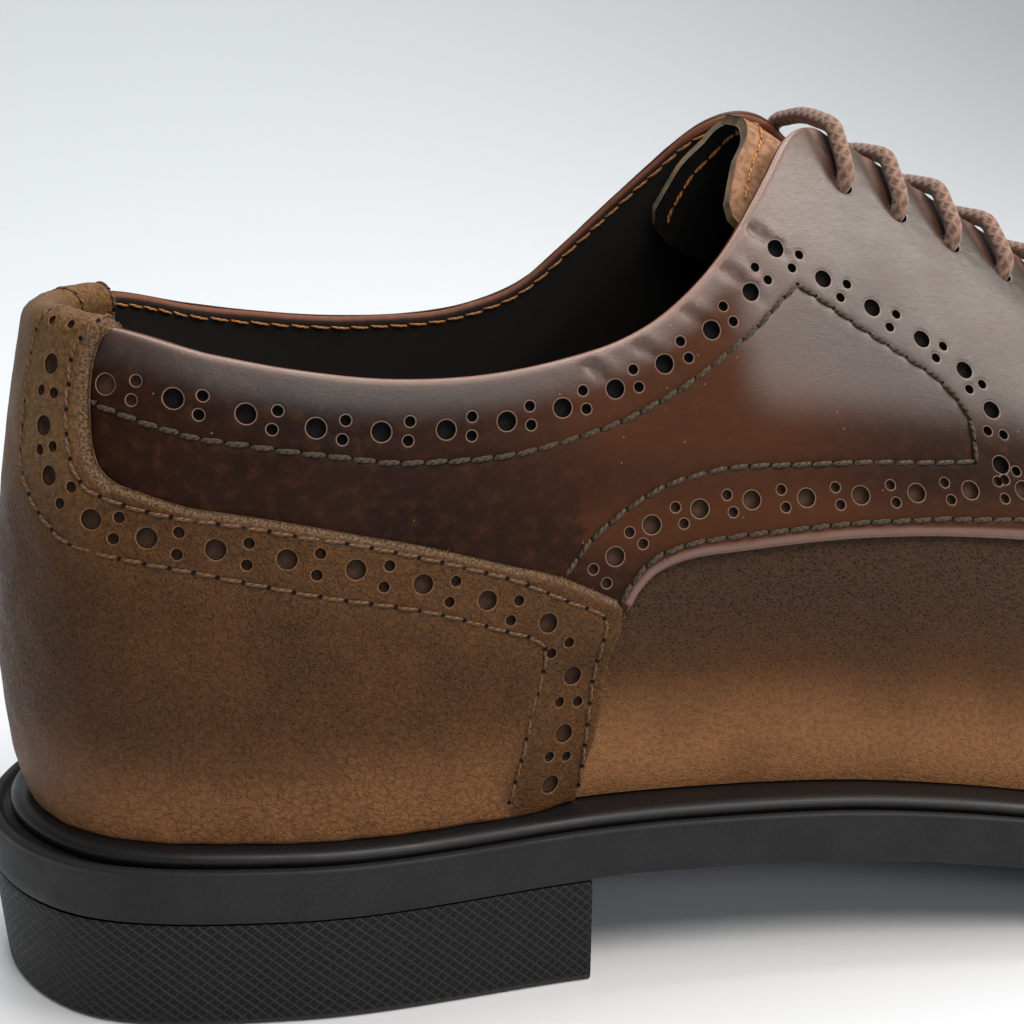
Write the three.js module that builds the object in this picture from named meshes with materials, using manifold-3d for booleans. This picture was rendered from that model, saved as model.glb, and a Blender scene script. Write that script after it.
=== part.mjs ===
// A laced brogue shoe for the right foot, standing empty on its sole.
// Lengths are millimetres. +X runs to the toe, -Y is the outer side of the foot, and the floor is z = 0.
// Every leather piece is cut from one wall: an arc along the feather line, a height up it and an offset.

import * as THREE from 'three';
import { mergeVertices } from 'three/addons/utils/BufferGeometryUtils.js';
import Module from 'manifold-3d';

const wasm = await Module();
wasm.setup();

// Last
const LAST_LENGTH = 284;      // feather line, back to toe
const BALL_WIDTH = 88.5;      // feather line across the ball
const INSTEP_HEIGHT = 102.5;  // crest of the instep over the floor
const HEEL_HEIGHT = 23.4;     // feather line over the floor at the heel seat
const BACK_HEIGHT = .644 * INSTEP_HEIGHT;    // back seam, measured up the wall
const CREST_SHIFT = 3;        // the instep leans this far to the inner side
const SHIFT_START = .105 * LAST_LENGTH;      // where it starts to lean
const SHIFT_RUN = .21 * LAST_LENGTH;         // and over how long

// Leather
const LINING_WALL = 2.0;      // vamp with its lining
const LEATHER = 1.3;          // quarters and heel counter
const GAP = 0.3;              // clearance between touching pieces
const LAYER_GAP = 0.48;       // clearance between curved layers, with room for their facets
const TONGUE_WALL = 2.0;
const LACE_DIAMETER = 2.4;
const LACE_BARS = 5;
const EYELET_INSET = 9.5;     // eyelet centre to the edge of the facing

// Sole
const SOLE_OVERHANG = 5.5;    // sole edge beyond the feather line
const SOLE_BACK = 1.4;        // how much further it stands out at the back
const LIP_HEIGHT = 0.9;       // raised lip around the top of the sole edge
const LIP_BACK = 1.3;         // foot of the lip, in from the sole's edge
const LIP_TOP = .4;           // outer end of its flat top, in from the edge
const LIP_BEVEL = .5;         // drop from there to the edge
const SOLE_BEVEL = .8;        // chamfer round the underside
const CHANNEL_DEPTH = 2.6;    // seat of the welt, below the plateau under the insole
const WELT_REACH = 3.2;       // bead of the welt beyond the feather line
const WELT_WIDTH = 12;        // welt strip, bead to inner edge
const INSOLE_THICKNESS = 2.3;
const HEEL_LENGTH = 70;       // back of the feather line to the heel breast
const HEEL_TUCK = .8;         // how far the foot of the heel is drawn in at the back
const HEEL_STEP = .5;         // how far the foot of the heel is drawn in at the sides

// Named columns for the short tables below
const table = (columns, rows) => rows.map(
  (row) => Object.fromEntries(columns.map((key, i) => [key, row[i]])));

// Feather outline, outer side first. x is a share of LAST_LENGTH, y a share of BALL_WIDTH.
const OUTLINE = table(['x', 'y'], [
  [0, 0], [.028, -.203], [.113, -.297], [.254, -.314], [.37, -.356], [.493, -.435], [.627, -.503],
  [.754, -.48], [.87, -.372], [.962, -.18], [1, .045],
  [.977, .25], [.90, .39], [.782, .48], [.669, .497], [.528, .418], [.38, .328], [.254, .297],
  [.113, .292], [.028, .203],
]);

// Sections along the last. x is a share of LAST_LENGTH, feather of HEEL_HEIGHT, crest of INSTEP_HEIGHT,
// flare (how far the wall leans out) of BALL_WIDTH, rise of its height, shoulder of its reach.
const SECTIONS = table(['x', 'feather', 'crest', 'flare', 'rise', 'shoulder'], [
  [0, 1.05, 1.27, .10, .27, .55],
  [.141, 1.0, 1.28, .085, .27, .58],
  [.296, 1.034, 1.27, .068, .27, .55],
  [.394, 1.0, 1.155, .056, .32, .50],
  [.493, .855, 1.0, .045, .40, .49],
  [.599, .54, .795, .034, .46, .49],
  [.704, .42, .615, .040, .50, .50],
  [.81, .436, .512, .051, .55, .55],
  [.908, .564, .444, .056, .55, .60],
  [1, .77, .41, .056, .55, .60],
]);

// Feather line to the underside of the sole. x is a share of LAST_LENGTH, depth of HEEL_HEIGHT.
const SOLE_DEPTH = table(['x', 'depth'], [
  [0, .40], [.25, .39], [.317, .406], [.45, .41], [.56, .42], [.68, .44], [.8, .44], [1, .41],
]);

// Top edge of each quarter. a is a share of LAST_LENGTH along the feather line, b a share of BACK_HEIGHT.
const TOPLINE = {
  lateral: table(['a', 'b'], [
    [0, 1], [.085, .985], [.158, .924], [.232, .888], [.289, .906], [.338, .976], [.377, 1.121],
    [.405, 1.282], [.426, 1.40], [.439, 1.429], [.465, 1.409], [.528, 1.338], [.599, 1.265], [.658, 1.212],
  ]),
  medial: table(['a', 'b'], [
    [0, 1], [.085, 1.015], [.158, .974], [.232, .947], [.285, .96], [.317, 1.01], [.349, 1.136],
    [.384, 1.288], [.408, 1.386], [.426, 1.424], [.44, 1.424], [.465, 1.379], [.528, 1.28], [.599, 1.19],
    [.658, 1.106],
  ]),
};

// Columns of a quarter from its lower to its upper edge, in the same shares. A column without a top ends on
// the topline.
const QUARTER = table(['lowA', 'lowB', 'highA', 'highB'], [
  [.0015, 0, .0015, null], [.03, 0, .03, null], [.07, 0, .075, null], [.12, 0, .13, null],
  [.17, 0, .185, null], [.215, 0, .232, null], [.254, 0, .28, null], [.258, .18, .305, null],
  [.266, .30, .33, null], [.288, .375, .352, null], [.317, .403, .375, null], [.34, .497, .40, null],
  [.365, .512, .42, null], [.39, .521, .439, null], [.42, .53, .465, null], [.455, .54, .49, null],
  [.495, .549, .52, null], [.53, .553, .55, null], [.57, .575, .585, null], [.605, .667, .615, null],
  [.632, .82, .638, null], [.648, .98, .65, null], [.657, 1.06, .658, null],
]);

// Columns of the heel counter from the seat to its upper edge, in the same shares. The first three reach
// the collar, and the rest follow the swept edge to the front.
const COUNTER = table(['lowA', 'lowB', 'highA', 'highB'], [
  [0, 0, 0, 1.0], [.026, 0, .038, 1.0], [.048, 0, .076, .985], [.060, 0, .077, .85], [.070, 0, .082, .73],
  [.090, 0, .105, .68], [.141, 0, .155, .64], [.204, 0, .218, .575], [.25, 0, .265, .51],
  [.275, 0, .29, .465], [.293, 0, .312, .425],
]);

// Zones of columns along one side, by the share of the arc from the back to the toe where each one ends
const ZONES = table(['end', 'steps'], [[.078, 6], [.288, 8], [.391, 7], [.604, 11], [.80, 6], [1, 8]]);
const THROAT_ZONE = 3;        // the throat closes at the end of this zone
const THROAT_ROUND = .53;     // share of the arc where the throat starts to close

const BACK_FAN = .085 * LAST_LENGTH;   // sections fan round this point at the heel
const TOE_FAN = .887 * LAST_LENGTH;    // and round this one at the toe
const STEP = .3;                       // step along the outline of the differences that give a normal
const CREST_ZONE = .005;               // the same up a section, as a share of it
const STEEP = 8;                       // columns are added where an edge climbs more than this between two
const NARROW = .0015 * LAST_LENGTH;    // and are never closer than this
const END_COLUMN = .005;               // share of LAST_LENGTH kept clear beside a piece's end columns
const ROW_POWER = 1.25;                // rows of the vamp stand closer toward its upper edge

// Smooth curve through one column of a table
function smooth(rows, key, value, at = 'x') {
  const last = rows.length - 1;
  const slope = (i) => (rows[i + 1][key] - rows[i][key]) / (rows[i + 1][at] - rows[i][at]);
  const width = (i) => rows[i + 1][at] - rows[i][at];
  const tangent = (i) => {
    if (i === 0) return slope(0);
    if (i === last) return slope(last - 1);
    return (slope(i - 1) * width(i) + slope(i) * width(i - 1)) / (width(i - 1) + width(i));
  };
  const x = Math.min(Math.max(value, rows[0][at]), rows[last][at]);
  let i = 0;
  while (i < last - 1 && x > rows[i + 1][at]) i += 1;
  const t = (x - rows[i][at]) / width(i);
  return rows[i][key] * (1 + 2 * t) * (1 - t) ** 2 + tangent(i) * width(i) * t * (1 - t) ** 2
    + rows[i + 1][key] * t * t * (3 - 2 * t) + tangent(i + 1) * width(i) * t * t * (t - 1);
}

const ease = (t) => {
  const s = Math.min(Math.max(t, 0), 1);
  return s * s * (3 - 2 * s);
};

// The outline as one closed curve, read by arc length from the back
const outline = new THREE.CatmullRomCurve3(
  OUTLINE.map(({ x, y }) => new THREE.Vector3(x * LAST_LENGTH, y * BALL_WIDTH, 0)), true, 'centripetal');
outline.arcLengthDivisions = 2000;
const PERIMETER = outline.getLength();

// s is positive on the outer side and negative on the inner side
function outlinePoint(s) {
  return outline.getPointAt((((s / PERIMETER) % 1) + 1) % 1);
}

// Arc length to the point of one side that lies at x
function arcAt(x, sign) {
  let near = 0;
  let far = sign > 0 ? TOE_ARC : PERIMETER - TOE_ARC;
  for (let i = 0; i < 50; i += 1) {
    const middle = (near + far) / 2;
    if (outlinePoint(sign * middle).x < x) near = middle; else far = middle;
  }
  return sign * (near + far) / 2;
}

const TOE_ARC = (() => {
  let best = 0;
  for (let s = .4 * PERIMETER; s < .6 * PERIMETER; s += .05) {
    if (outlinePoint(s).x > outlinePoint(best).x) best = s;
  }
  return best;
})();

const featherHeight = (x) => HEEL_HEIGHT * smooth(SECTIONS, 'feather', x / LAST_LENGTH);
const crestHeight = (x) => INSTEP_HEIGHT * smooth(SECTIONS, 'crest', x / LAST_LENGTH);
const soleDepth = (x) => HEEL_HEIGHT * smooth(SOLE_DEPTH, 'depth', x / LAST_LENGTH);
const soleUnderside = (x) => Math.max(0, featherHeight(x) - soleDepth(x));

// Outward normal of the outline in plan
function planNormal(s) {
  const along = outlinePoint(s + STEP).sub(outlinePoint(s - STEP)).normalize();
  return new THREE.Vector3(along.y, -along.x, 0);
}

// The section of the last at s: four control points from the feather line up to the crest
function section(s) {
  const foot = outlinePoint(s);
  const x = Math.min(Math.max(foot.x, BACK_FAN), TOE_FAN);
  const share = foot.x / LAST_LENGTH;
  const y = CREST_SHIFT * Math.min(Math.max((foot.x - SHIFT_START) / SHIFT_RUN, 0), 1);
  const low = featherHeight(foot.x);
  const high = crestHeight(x);
  const pitch = (crestHeight(x + 1) - crestHeight(x - 1)) / 2;
  const out = new THREE.Vector3(foot.x - x, foot.y - y, 0);
  const reach = out.length();
  out.normalize();
  const flare = BALL_WIDTH * smooth(SECTIONS, 'flare', share);
  const rise = smooth(SECTIONS, 'rise', share) * (high - low);
  const shoulder = smooth(SECTIONS, 'shoulder', share) * reach;
  const normal = planNormal(s);
  return {
    pitch,
    points: [
      new THREE.Vector3(foot.x, foot.y, low),
      new THREE.Vector3(foot.x + normal.x * flare, foot.y + normal.y * flare, low + rise),
      new THREE.Vector3(x + out.x * shoulder, y + out.y * shoulder, high + pitch * out.x * shoulder),
      new THREE.Vector3(x, y, high),
    ],
  };
}

function bezier([p0, p1, p2, p3], u) {
  const v = 1 - u;
  return new THREE.Vector3()
    .addScaledVector(p0, v ** 3).addScaledVector(p1, 3 * u * v * v)
    .addScaledVector(p2, 3 * u * u * v).addScaledVector(p3, u ** 3);
}

// One column of the wall with its heights measured along it
const columns = new Map();
function column(s) {
  const key = s.toFixed(6);
  if (!columns.has(key)) {
    const { points, pitch } = section(s);
    const heights = [0];
    const divisions = 60;
    let before = points[0];
    for (let i = 1; i <= divisions; i += 1) {
      const here = bezier(points, i / divisions);
      heights.push(heights[i - 1] + here.distanceTo(before));
      before = here;
    }
    columns.set(key, {
      points, pitch, heights, top: heights[divisions],
      ahead: section(s + STEP).points, behind: section(s - STEP).points,
    });
  }
  return columns.get(key);
}

const wallHeight = (s) => column(s).top;

// A point of the wall at arc s and height b, moved out by an offset
function wall(s, b, offset) {
  const { points, pitch, heights, ahead, behind } = column(s);
  const last = heights.length - 1;
  let i = 1;
  while (i < last && heights[i] < b) i += 1;
  const u = (i - 1 + (b - heights[i - 1]) / (heights[i] - heights[i - 1])) / last;
  const point = bezier(points, u);
  if (u > 1 - CREST_ZONE) return point.addScaledVector(new THREE.Vector3(-pitch, 0, 1).normalize(), offset);
  const along = bezier(ahead, u).sub(bezier(behind, u));
  const up = bezier(points, Math.min(u + CREST_ZONE, 1)).sub(bezier(points, Math.max(u - CREST_ZONE, 0)));
  return point.addScaledVector(along.cross(up).normalize(), offset);
}

// The lowest row of every leather piece is cut level, just above the welt
function onFoot(s, b, offset) {
  const point = wall(s, b, offset);
  if (b <= 0) point.z = featherHeight(point.x) - GAP / 3;
  return point;
}

// A closed body gathered from quads whose corners meet
class Shell {
  constructor() {
    this.corners = new Map();
    this.positions = [];
    this.index = [];
  }

  vertex(point) {
    const key = [point.x, point.y, point.z].map((v) => Math.round(v * 2000)).join();
    if (!this.corners.has(key)) {
      this.corners.set(key, this.corners.size);
      this.positions.push(point.x, point.y, point.z);
    }
    return this.corners.get(key);
  }

  triangle(p, q, r) {
    const [i, j, k] = [this.vertex(p), this.vertex(q), this.vertex(r)];
    if (i !== j && j !== k && k !== i) this.index.push(i, j, k);
  }

  quad(p, q, r, t) {
    this.triangle(p, q, r);
    this.triangle(p, r, t);
  }

  // Quads between neighbouring rows of points
  grid(rows, flip = false) {
    for (let i = 0; i + 1 < rows.length; i += 1) {
      for (let j = 0; j + 1 < rows[i].length; j += 1) {
        const face = [rows[i][j], rows[i + 1][j], rows[i + 1][j + 1], rows[i][j + 1]];
        this.quad(...(flip ? face.reverse() : face));
      }
    }
  }

  geometry() {
    const geometry = new THREE.BufferGeometry();
    geometry.setAttribute('position', new THREE.Float32BufferAttribute(this.positions, 3));
    geometry.setIndex(this.index);
    geometry.computeVertexNormals();
    return geometry;
  }
}

// A sheet of leather: rows of outer and inner points, joined round their edge
function sheet(outer, inner) {
  const shell = new Shell();
  const last = outer.length - 1;
  const top = outer[0].length - 1;
  shell.grid(outer);
  shell.grid(inner, true);
  shell.grid([outer.map((line) => line[0]), inner.map((line) => line[0])]);
  shell.grid([outer.map((line) => line[top]), inner.map((line) => line[top])], true);
  shell.grid([outer[0], inner[0]], true);
  shell.grid([outer[last], inner[last]]);
  return shell.geometry();
}

// Pairs of columns at the same x on both sides, from the back to the toe
const stations = (() => {
  const arcs = [0];
  let start = 0;
  for (const { end, steps } of ZONES) {
    for (let i = 1; i <= steps; i += 1) arcs.push((start + (end - start) * i / steps) * TOE_ARC);
    start = end;
  }
  return arcs.map((outer, i) => {
    const x = outlinePoint(outer).x;
    const ends = i === 0 || i === arcs.length - 1;
    const toe = TOE_ARC - PERIMETER;
    return { x, outer, inner: ends ? (i === 0 ? 0 : toe) : arcAt(x, -1) };
  });
})();

// The same columns as one loop: up the outer side, round the toe and back along the inner side
const loop = [
  ...stations.map(({ x, outer }) => ({ x, s: outer })),
  ...stations.slice(1, -1).reverse().map(({ x, inner }) => ({ x, s: inner })),
];

const topline = (s) => BACK_HEIGHT * smooth(
  s > 0 ? TOPLINE.lateral : TOPLINE.medial, 'b', Math.abs(s) / LAST_LENGTH, 'a');

const throatStation = ZONES.slice(0, THROAT_ZONE + 1).reduce((sum, { steps }) => sum + steps, 0);
const THROAT_FRONT = stations[throatStation].x - 1e-6;
const THROAT_START = outlinePoint(THROAT_ROUND * TOE_ARC).x;

// Upper edge of the vamp and its lining: under the topline, then round the throat and over the crest
function liningEdge(s, x) {
  if (x >= THROAT_FRONT) return wallHeight(s);
  const edge = topline(s) - 2 * GAP;
  if (x <= THROAT_START) return edge;
  const t = (x - THROAT_START) / (THROAT_FRONT - THROAT_START);
  const start = arcAt(THROAT_START, Math.sign(s));
  const half = wallHeight(start) - topline(start) + 2 * GAP;
  return wallHeight(s) - half * Math.sqrt(1 - t * t);
}

const closeRing = (points) => [...points, points[0]];

// Vamp with lining: one hollow wall, open underneath and at the collar and throat
function upper() {
  const rows = 9;
  const outerFace = -LEATHER - LAYER_GAP;
  const lines = closeRing(loop).map(({ s, x }) => ({ s, edge: liningEdge(s, x), crest: wallHeight(s) }));
  const side = (offset) => lines.map(({ s, edge }) => Array.from({ length: rows + 1 },
    (_, j) => onFoot(s, edge * (1 - (1 - j / rows) ** ROW_POWER), offset)));
  const outer = side(outerFace);
  const inner = side(outerFace - LINING_WALL);
  const shell = new Shell();
  shell.grid(outer);
  shell.grid(inner, true);
  shell.grid([outer.map((line) => line[0]), inner.map((line) => line[0])]);
  const open = ({ edge, crest }) => edge < crest;
  for (let i = 0; i + 1 < lines.length; i += 1) {
    if (open(lines[i]) || open(lines[i + 1])) {
      shell.quad(inner[i][rows], outer[i][rows], outer[i + 1][rows], inner[i + 1][rows]);
    }
  }
  return shell.geometry();
}

// Columns of a piece, each from its lower to its upper end. They follow the lining's columns at one end,
// named by the key at, and the table gives the other. Where an edge is steep they stand closer.
function cut(rows, at, count, sign, offset, power) {
  const first = rows[0][at];
  const last = rows[rows.length - 1][at];
  const ends = (share) => {
    const [lowA, highA] = ['lowA', 'highA'].map((key) => LAST_LENGTH * smooth(rows, key, share, at));
    const low = BACK_HEIGHT * Math.max(0, smooth(rows, 'lowB', share, at));
    const edge = topline(sign * highA);
    const ownTop = rows[0].highB !== null;
    const high = ownTop ? Math.min(edge, BACK_HEIGHT * smooth(rows, 'highB', share, at)) : edge;
    return { share, lowA, highA, low, high };
  };
  const shares = stations.map(({ outer, inner }) => (sign > 0 ? outer : -inner) / LAST_LENGTH)
    .filter((share) => share > first + END_COLUMN && share < last - END_COLUMN);
  const climb = (here, next) => Math.max(Math.abs(next.low - here.low), Math.abs(next.high - here.high));
  const fill = (here, next) => {
    if (climb(here, next) <= STEEP || (next.share - here.share) * LAST_LENGTH <= NARROW) return [next];
    const middle = ends((here.share + next.share) / 2);
    return [...fill(here, middle), ...fill(middle, next)];
  };
  const lines = [first, ...shares, last].map(ends)
    .flatMap((line, i, all) => (i === 0 ? [line] : fill(all[i - 1], line)));
  return lines.map(({ lowA, highA, low, high }) => Array.from({ length: count + 1 }, (_, j) => {
    const t = 1 - (1 - j / count) ** power;
    const s = sign * (lowA + (highA - lowA) * t);
    const b = low + (high - low) * t;
    return onFoot(s, b, offset(s, b));
  }));
}

// A quarter lies on the vamp from the back seam to the facing
function quarter(sign) {
  const rows = 7;
  const faces = [() => 0, () => -LEATHER].map((offset) => cut(QUARTER, 'highA', rows, sign, offset, 1.2));
  return sign > 0 ? sheet(...faces) : sheet(...faces.map((face) => face.reverse()));
}

// The counter lies on the quarters, and steps down onto the vamp at its front edge
const COUNTER_STEP = table(['start', 'width'], [[.264, .03], [.37, .106]]);
function counterInner(s, b) {
  const [front, height] = COUNTER_STEP;
  const forward = ease((Math.abs(s) / LAST_LENGTH - front.start) / front.width);
  const down = ease((height.start - b / BACK_HEIGHT) / height.width);
  return LAYER_GAP - (LEATHER + LAYER_GAP) * forward * down;
}

function heelCounter() {
  const rows = 7;
  const face = (offset) => [
    ...cut(COUNTER, 'lowA', rows, -1, offset, 1).reverse().slice(0, -1),
    ...cut(COUNTER, 'lowA', rows, 1, offset, 1),
  ];
  return sheet(face((s, b) => counterInner(s, b) + LEATHER), face(counterInner));
}

// Tongue: from under the vamp to its end over the collar. x is a share of LAST_LENGTH, half the width on
// each side of the crest in mm of BALL_WIDTH shares, drop how far it lies under the facings.
const TONGUE = table(['x', 'half', 'drop'], [
  [.365, .20, 1], [.372, .25, 1], [.385, .29, 1], [.42, .30, 1], [.46, .28, 1], [.50, .26, 1],
  [.54, .235, 1], [.57, .21, .9], [.60, .185, .45], [.63, .16, .05], [.66, .14, 0],
]);

function tongue() {
  const across = 10;
  const lining = -LEATHER - 2 * LAYER_GAP - LINING_WALL;
  const face = (depth) => TONGUE.map(({ x, half, drop }) => {
    const offset = lining - drop * (LACE_DIAMETER + GAP) - depth;
    return Array.from({ length: across + 1 }, (_, j) => {
      const t = 1 - 2 * j / across;
      const s = arcAt(x * LAST_LENGTH, t >= 0 ? 1 : -1);
      return wall(s, wallHeight(s) - Math.abs(t) * half * BALL_WIDTH, offset);
    });
  });
  return sheet(face(0), face(TONGUE_WALL));
}

// A ring of points beside the outline, at a distance out and a height that follows x
const backward = (normal) => Math.max(0, -normal.x);
const ring = (out, height, back = 0) => loop.map(({ s }) => {
  const normal = planNormal(s);
  const point = outlinePoint(s).addScaledVector(normal, out + back * backward(normal));
  point.z = height(point.x);
  return point;
});

// Flat face between the two sides of a ring
function cap(shell, points, facingUp) {
  const half = points.length / 2;
  for (let i = 0; i < half; i += 1) {
    const face = [points[i], points[i + 1], points[(points.length - i - 1) % points.length],
      points[(points.length - i) % points.length]];
    shell.quad(...(facingUp ? face : face.reverse()));
  }
}

// A body made of rings from its top face, round its side, to its bottom face
function stacked(rings) {
  const shell = new Shell();
  cap(shell, rings[0], true);
  shell.grid(rings.map(closeRing));
  cap(shell, rings[rings.length - 1], false);
  return shell.geometry();
}

const onFeather = (drop) => (x) => featherHeight(x) - drop;
const PLATEAU = GAP / 3 + GAP;                        // top of the sole and welt, under the leather
const CHANNEL = PLATEAU + CHANNEL_DEPTH;              // floor of the welt's seat
const WELT_INNER = WELT_REACH - WELT_WIDTH;

function outsole() {
  const lip = CHANNEL - LIP_HEIGHT;
  return stacked([
    ring(WELT_INNER - GAP, onFeather(PLATEAU)),
    ring(WELT_INNER - GAP, onFeather(CHANNEL)),
    ring(WELT_REACH + GAP, onFeather(CHANNEL)),
    ring(SOLE_OVERHANG - LIP_BACK, onFeather(lip), SOLE_BACK),
    ring(SOLE_OVERHANG - LIP_TOP, onFeather(lip), SOLE_BACK),
    ring(SOLE_OVERHANG, onFeather(lip + LIP_BEVEL), SOLE_BACK),
    ring(SOLE_OVERHANG, (x) => soleUnderside(x) + SOLE_BEVEL, SOLE_BACK),
    ring(SOLE_OVERHANG - SOLE_BEVEL, soleUnderside, SOLE_BACK),
  ]);
}

// The welt's strip lies in its seat, and its round bead shows between sole and leather
function welt() {
  const radius = CHANNEL_DEPTH - GAP;
  const profile = [[WELT_INNER, CHANNEL - GAP], [WELT_INNER, PLATEAU], [WELT_REACH - radius, PLATEAU]];
  for (const turn of [30, 60, 90]) {
    const angle = THREE.MathUtils.degToRad(turn);
    profile.push([WELT_REACH - radius * (1 - Math.sin(angle)), PLATEAU + radius * (1 - Math.cos(angle))]);
  }
  const rings = [...profile, profile[0]].map(([out, drop]) => ring(out, onFeather(drop)));
  const shell = new Shell();
  shell.grid(rings.map(closeRing));
  return shell.geometry();
}

function insole() {
  const edge = -LEATHER - LAYER_GAP - LINING_WALL - GAP;
  return stacked([
    ring(edge, (x) => featherHeight(x) - GAP / 3 + INSOLE_THICKNESS),
    ring(edge, onFeather(GAP / 3)),
  ]);
}

// Heel block: flat on the floor, drawn in toward it, with an upright breast
function heel() {
  const backs = stations.filter(({ x }) => x < HEEL_LENGTH - 3).map(({ outer, inner }) => [outer, inner]);
  backs.push([arcAt(HEEL_LENGTH, 1), arcAt(HEEL_LENGTH, -1)]);
  const arcs = [...backs.map(([outer]) => outer), ...backs.slice(1).reverse().map(([, inner]) => inner)];
  const level = (out, height) => arcs.map((s) => {
    const foot = outlinePoint(s);
    const normal = planNormal(s);
    const point = foot.clone().addScaledVector(normal, out(normal));
    point.x = Math.min(point.x, HEEL_LENGTH);
    point.z = height(foot.x);
    return point;
  });
  const head = (normal) => SOLE_OVERHANG - HEEL_STEP / 2 + SOLE_BACK * backward(normal);
  const foot = (normal) => SOLE_OVERHANG - HEEL_STEP + (SOLE_BACK - HEEL_TUCK) * backward(normal);
  const rings = [level(head, (x) => soleUnderside(x) - GAP), level(foot, () => 0)];
  const shell = new Shell();
  rings.forEach((points, k) => {
    for (let i = 0; i + 1 < backs.length; i += 1) {
      const far = points.length - i;
      const face = [points[i], points[i + 1], points[far - 1], points[far % points.length]];
      shell.quad(...(k === 0 ? face : face.reverse()));
    }
  });
  shell.grid(rings.map(closeRing));
  return shell.geometry();
}

// Laces: straight bars over the throat, joined by the runs that cross under them
const EYELETS = table(['first', 'pitch'], [[.451, .0305]])[0];
const LACE_SIDES = 6;
const RUN_END = .8;           // where a run meets its bar, as a share of crest to facing
const RUN_LEAN = 1.8;         // how far it leans toward the toe
const RUN_RISE = 1;           // how far it has risen there

function lacePoint(s, fromCrest, offset) {
  return wall(s, wallHeight(s) - fromCrest, offset);
}

function tube(points, sides, steps) {
  const circle = new THREE.Shape(Array.from({ length: sides }, (_, i) => {
    const angle = 2 * Math.PI * i / sides;
    return new THREE.Vector2(Math.cos(angle), Math.sin(angle)).multiplyScalar(LACE_DIAMETER / 2);
  }));
  return new THREE.ExtrudeGeometry(circle, {
    steps, bevelEnabled: false, extrudePath: new THREE.CatmullRomCurve3(points),
  });
}

function toManifold(geometry) {
  const bare = geometry.clone();
  bare.deleteAttribute('normal');
  bare.deleteAttribute('uv');
  const merged = mergeVertices(bare);
  return new wasm.Manifold(new wasm.Mesh({
    numProp: 3,
    vertProperties: new Float32Array(merged.attributes.position.array),
    triVerts: new Uint32Array(merged.index.array),
  }));
}

function fromManifold(solid) {
  const mesh = solid.getMesh();
  const geometry = new THREE.BufferGeometry();
  geometry.setAttribute('position', new THREE.Float32BufferAttribute(mesh.vertProperties, 3));
  geometry.setIndex([...mesh.triVerts]);
  geometry.computeVertexNormals();
  return geometry;
}

function laces() {
  const above = GAP + LACE_DIAMETER / 2 + LAYER_GAP / 2;
  const under = -LEATHER - LACE_DIAMETER / 2;
  const bars = Array.from({ length: LACE_BARS }, (_, i) => {
    const outer = (EYELETS.first + i * EYELETS.pitch) * LAST_LENGTH;
    const inner = arcAt(outlinePoint(outer).x, -1);
    const gap = (s) => wallHeight(s) - topline(s);
    return { outer, inner, gapOut: gap(outer), gapIn: gap(inner) };
  });
  // A bar from one eyelet over the crest to the other
  const solids = bars.map(({ outer, inner, gapOut, gapIn }) => {
    const steps = 6;
    const half = (s, gap) => Array.from({ length: steps + 1 },
      (_, j) => lacePoint(s, (gap + EYELET_INSET) * (1 - j / steps), above));
    const path = [...half(outer, gapOut).slice(0, -1), ...half(inner, gapIn).reverse()];
    return toManifold(tube(path, LACE_SIDES, 2 * steps));
  });
  // A run from under one bar, across below the crest, to under the next
  bars.slice(0, -1).forEach((bar, i) => {
    const next = bars[i + 1];
    const start = (bar.gapOut - LACE_DIAMETER) * RUN_END;
    const end = (next.gapIn - LACE_DIAMETER) * RUN_END;
    solids.push(toManifold(tube([
      lacePoint(bar.outer, start, above - GAP),
      lacePoint(bar.outer + RUN_LEAN, start * RUN_END, under + RUN_RISE),
      lacePoint((bar.outer + next.outer) / 2, 0, under),
      lacePoint(next.inner + RUN_LEAN, end * RUN_END, under + RUN_RISE),
      lacePoint(next.inner, end, above - GAP),
    ], LACE_SIDES, 5)));
  });
  return fromManifold(solids.reduce((sum, solid) => sum.add(solid)));
}

const leather = (color, roughness) => new THREE.MeshStandardMaterial({ color, roughness, metalness: 0 });
const tan = leather(0x7a4e2a, .55);
const brown = leather(0x4a2a1c, .35);
const rubber = leather(0x1f2022, .6);
const board = leather(0x2a211c, .9);
const cord = leather(0x4f3a2e, .9);

// The origin is the middle of the heel's flat underside
const HEEL_BACK = -(SOLE_OVERHANG - HEEL_STEP + SOLE_BACK - HEEL_TUCK);
const ORIGIN_X = (HEEL_LENGTH + HEEL_BACK) / 2;

const shoe = new THREE.Group();
const add = (name, geometry, material) => {
  const mesh = new THREE.Mesh(geometry, material);
  mesh.name = name;
  mesh.position.x = -ORIGIN_X;
  shoe.add(mesh);
};

add('outsole', outsole(), rubber);
add('heel', heel(), rubber);
add('welt', welt(), rubber);
add('insole', insole(), board);
add('upper', upper(), tan);
add('quarter_lateral', quarter(1), brown);
add('quarter_medial', quarter(-1), brown);
add('heel_counter', heelCounter(), tan);
add('tongue', tongue(), tan);
add('laces', laces(), cord);

export default shoe;
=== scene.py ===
# A laced brogue shoe for the right foot, dressed over its CAD solids.
# Lengths are millimetres in the part's own feather frame until a mesh is made; meshes are metres.
# Leather is placed by s, the arc along the feather line (outer side positive), b, the height up the wall,
# and an offset along the wall's outward normal.
import math
import bpy
import numpy as np
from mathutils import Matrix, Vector
from mathutils.geometry import delaunay_2d_cdt
from mathutils.kdtree import KDTree


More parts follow.
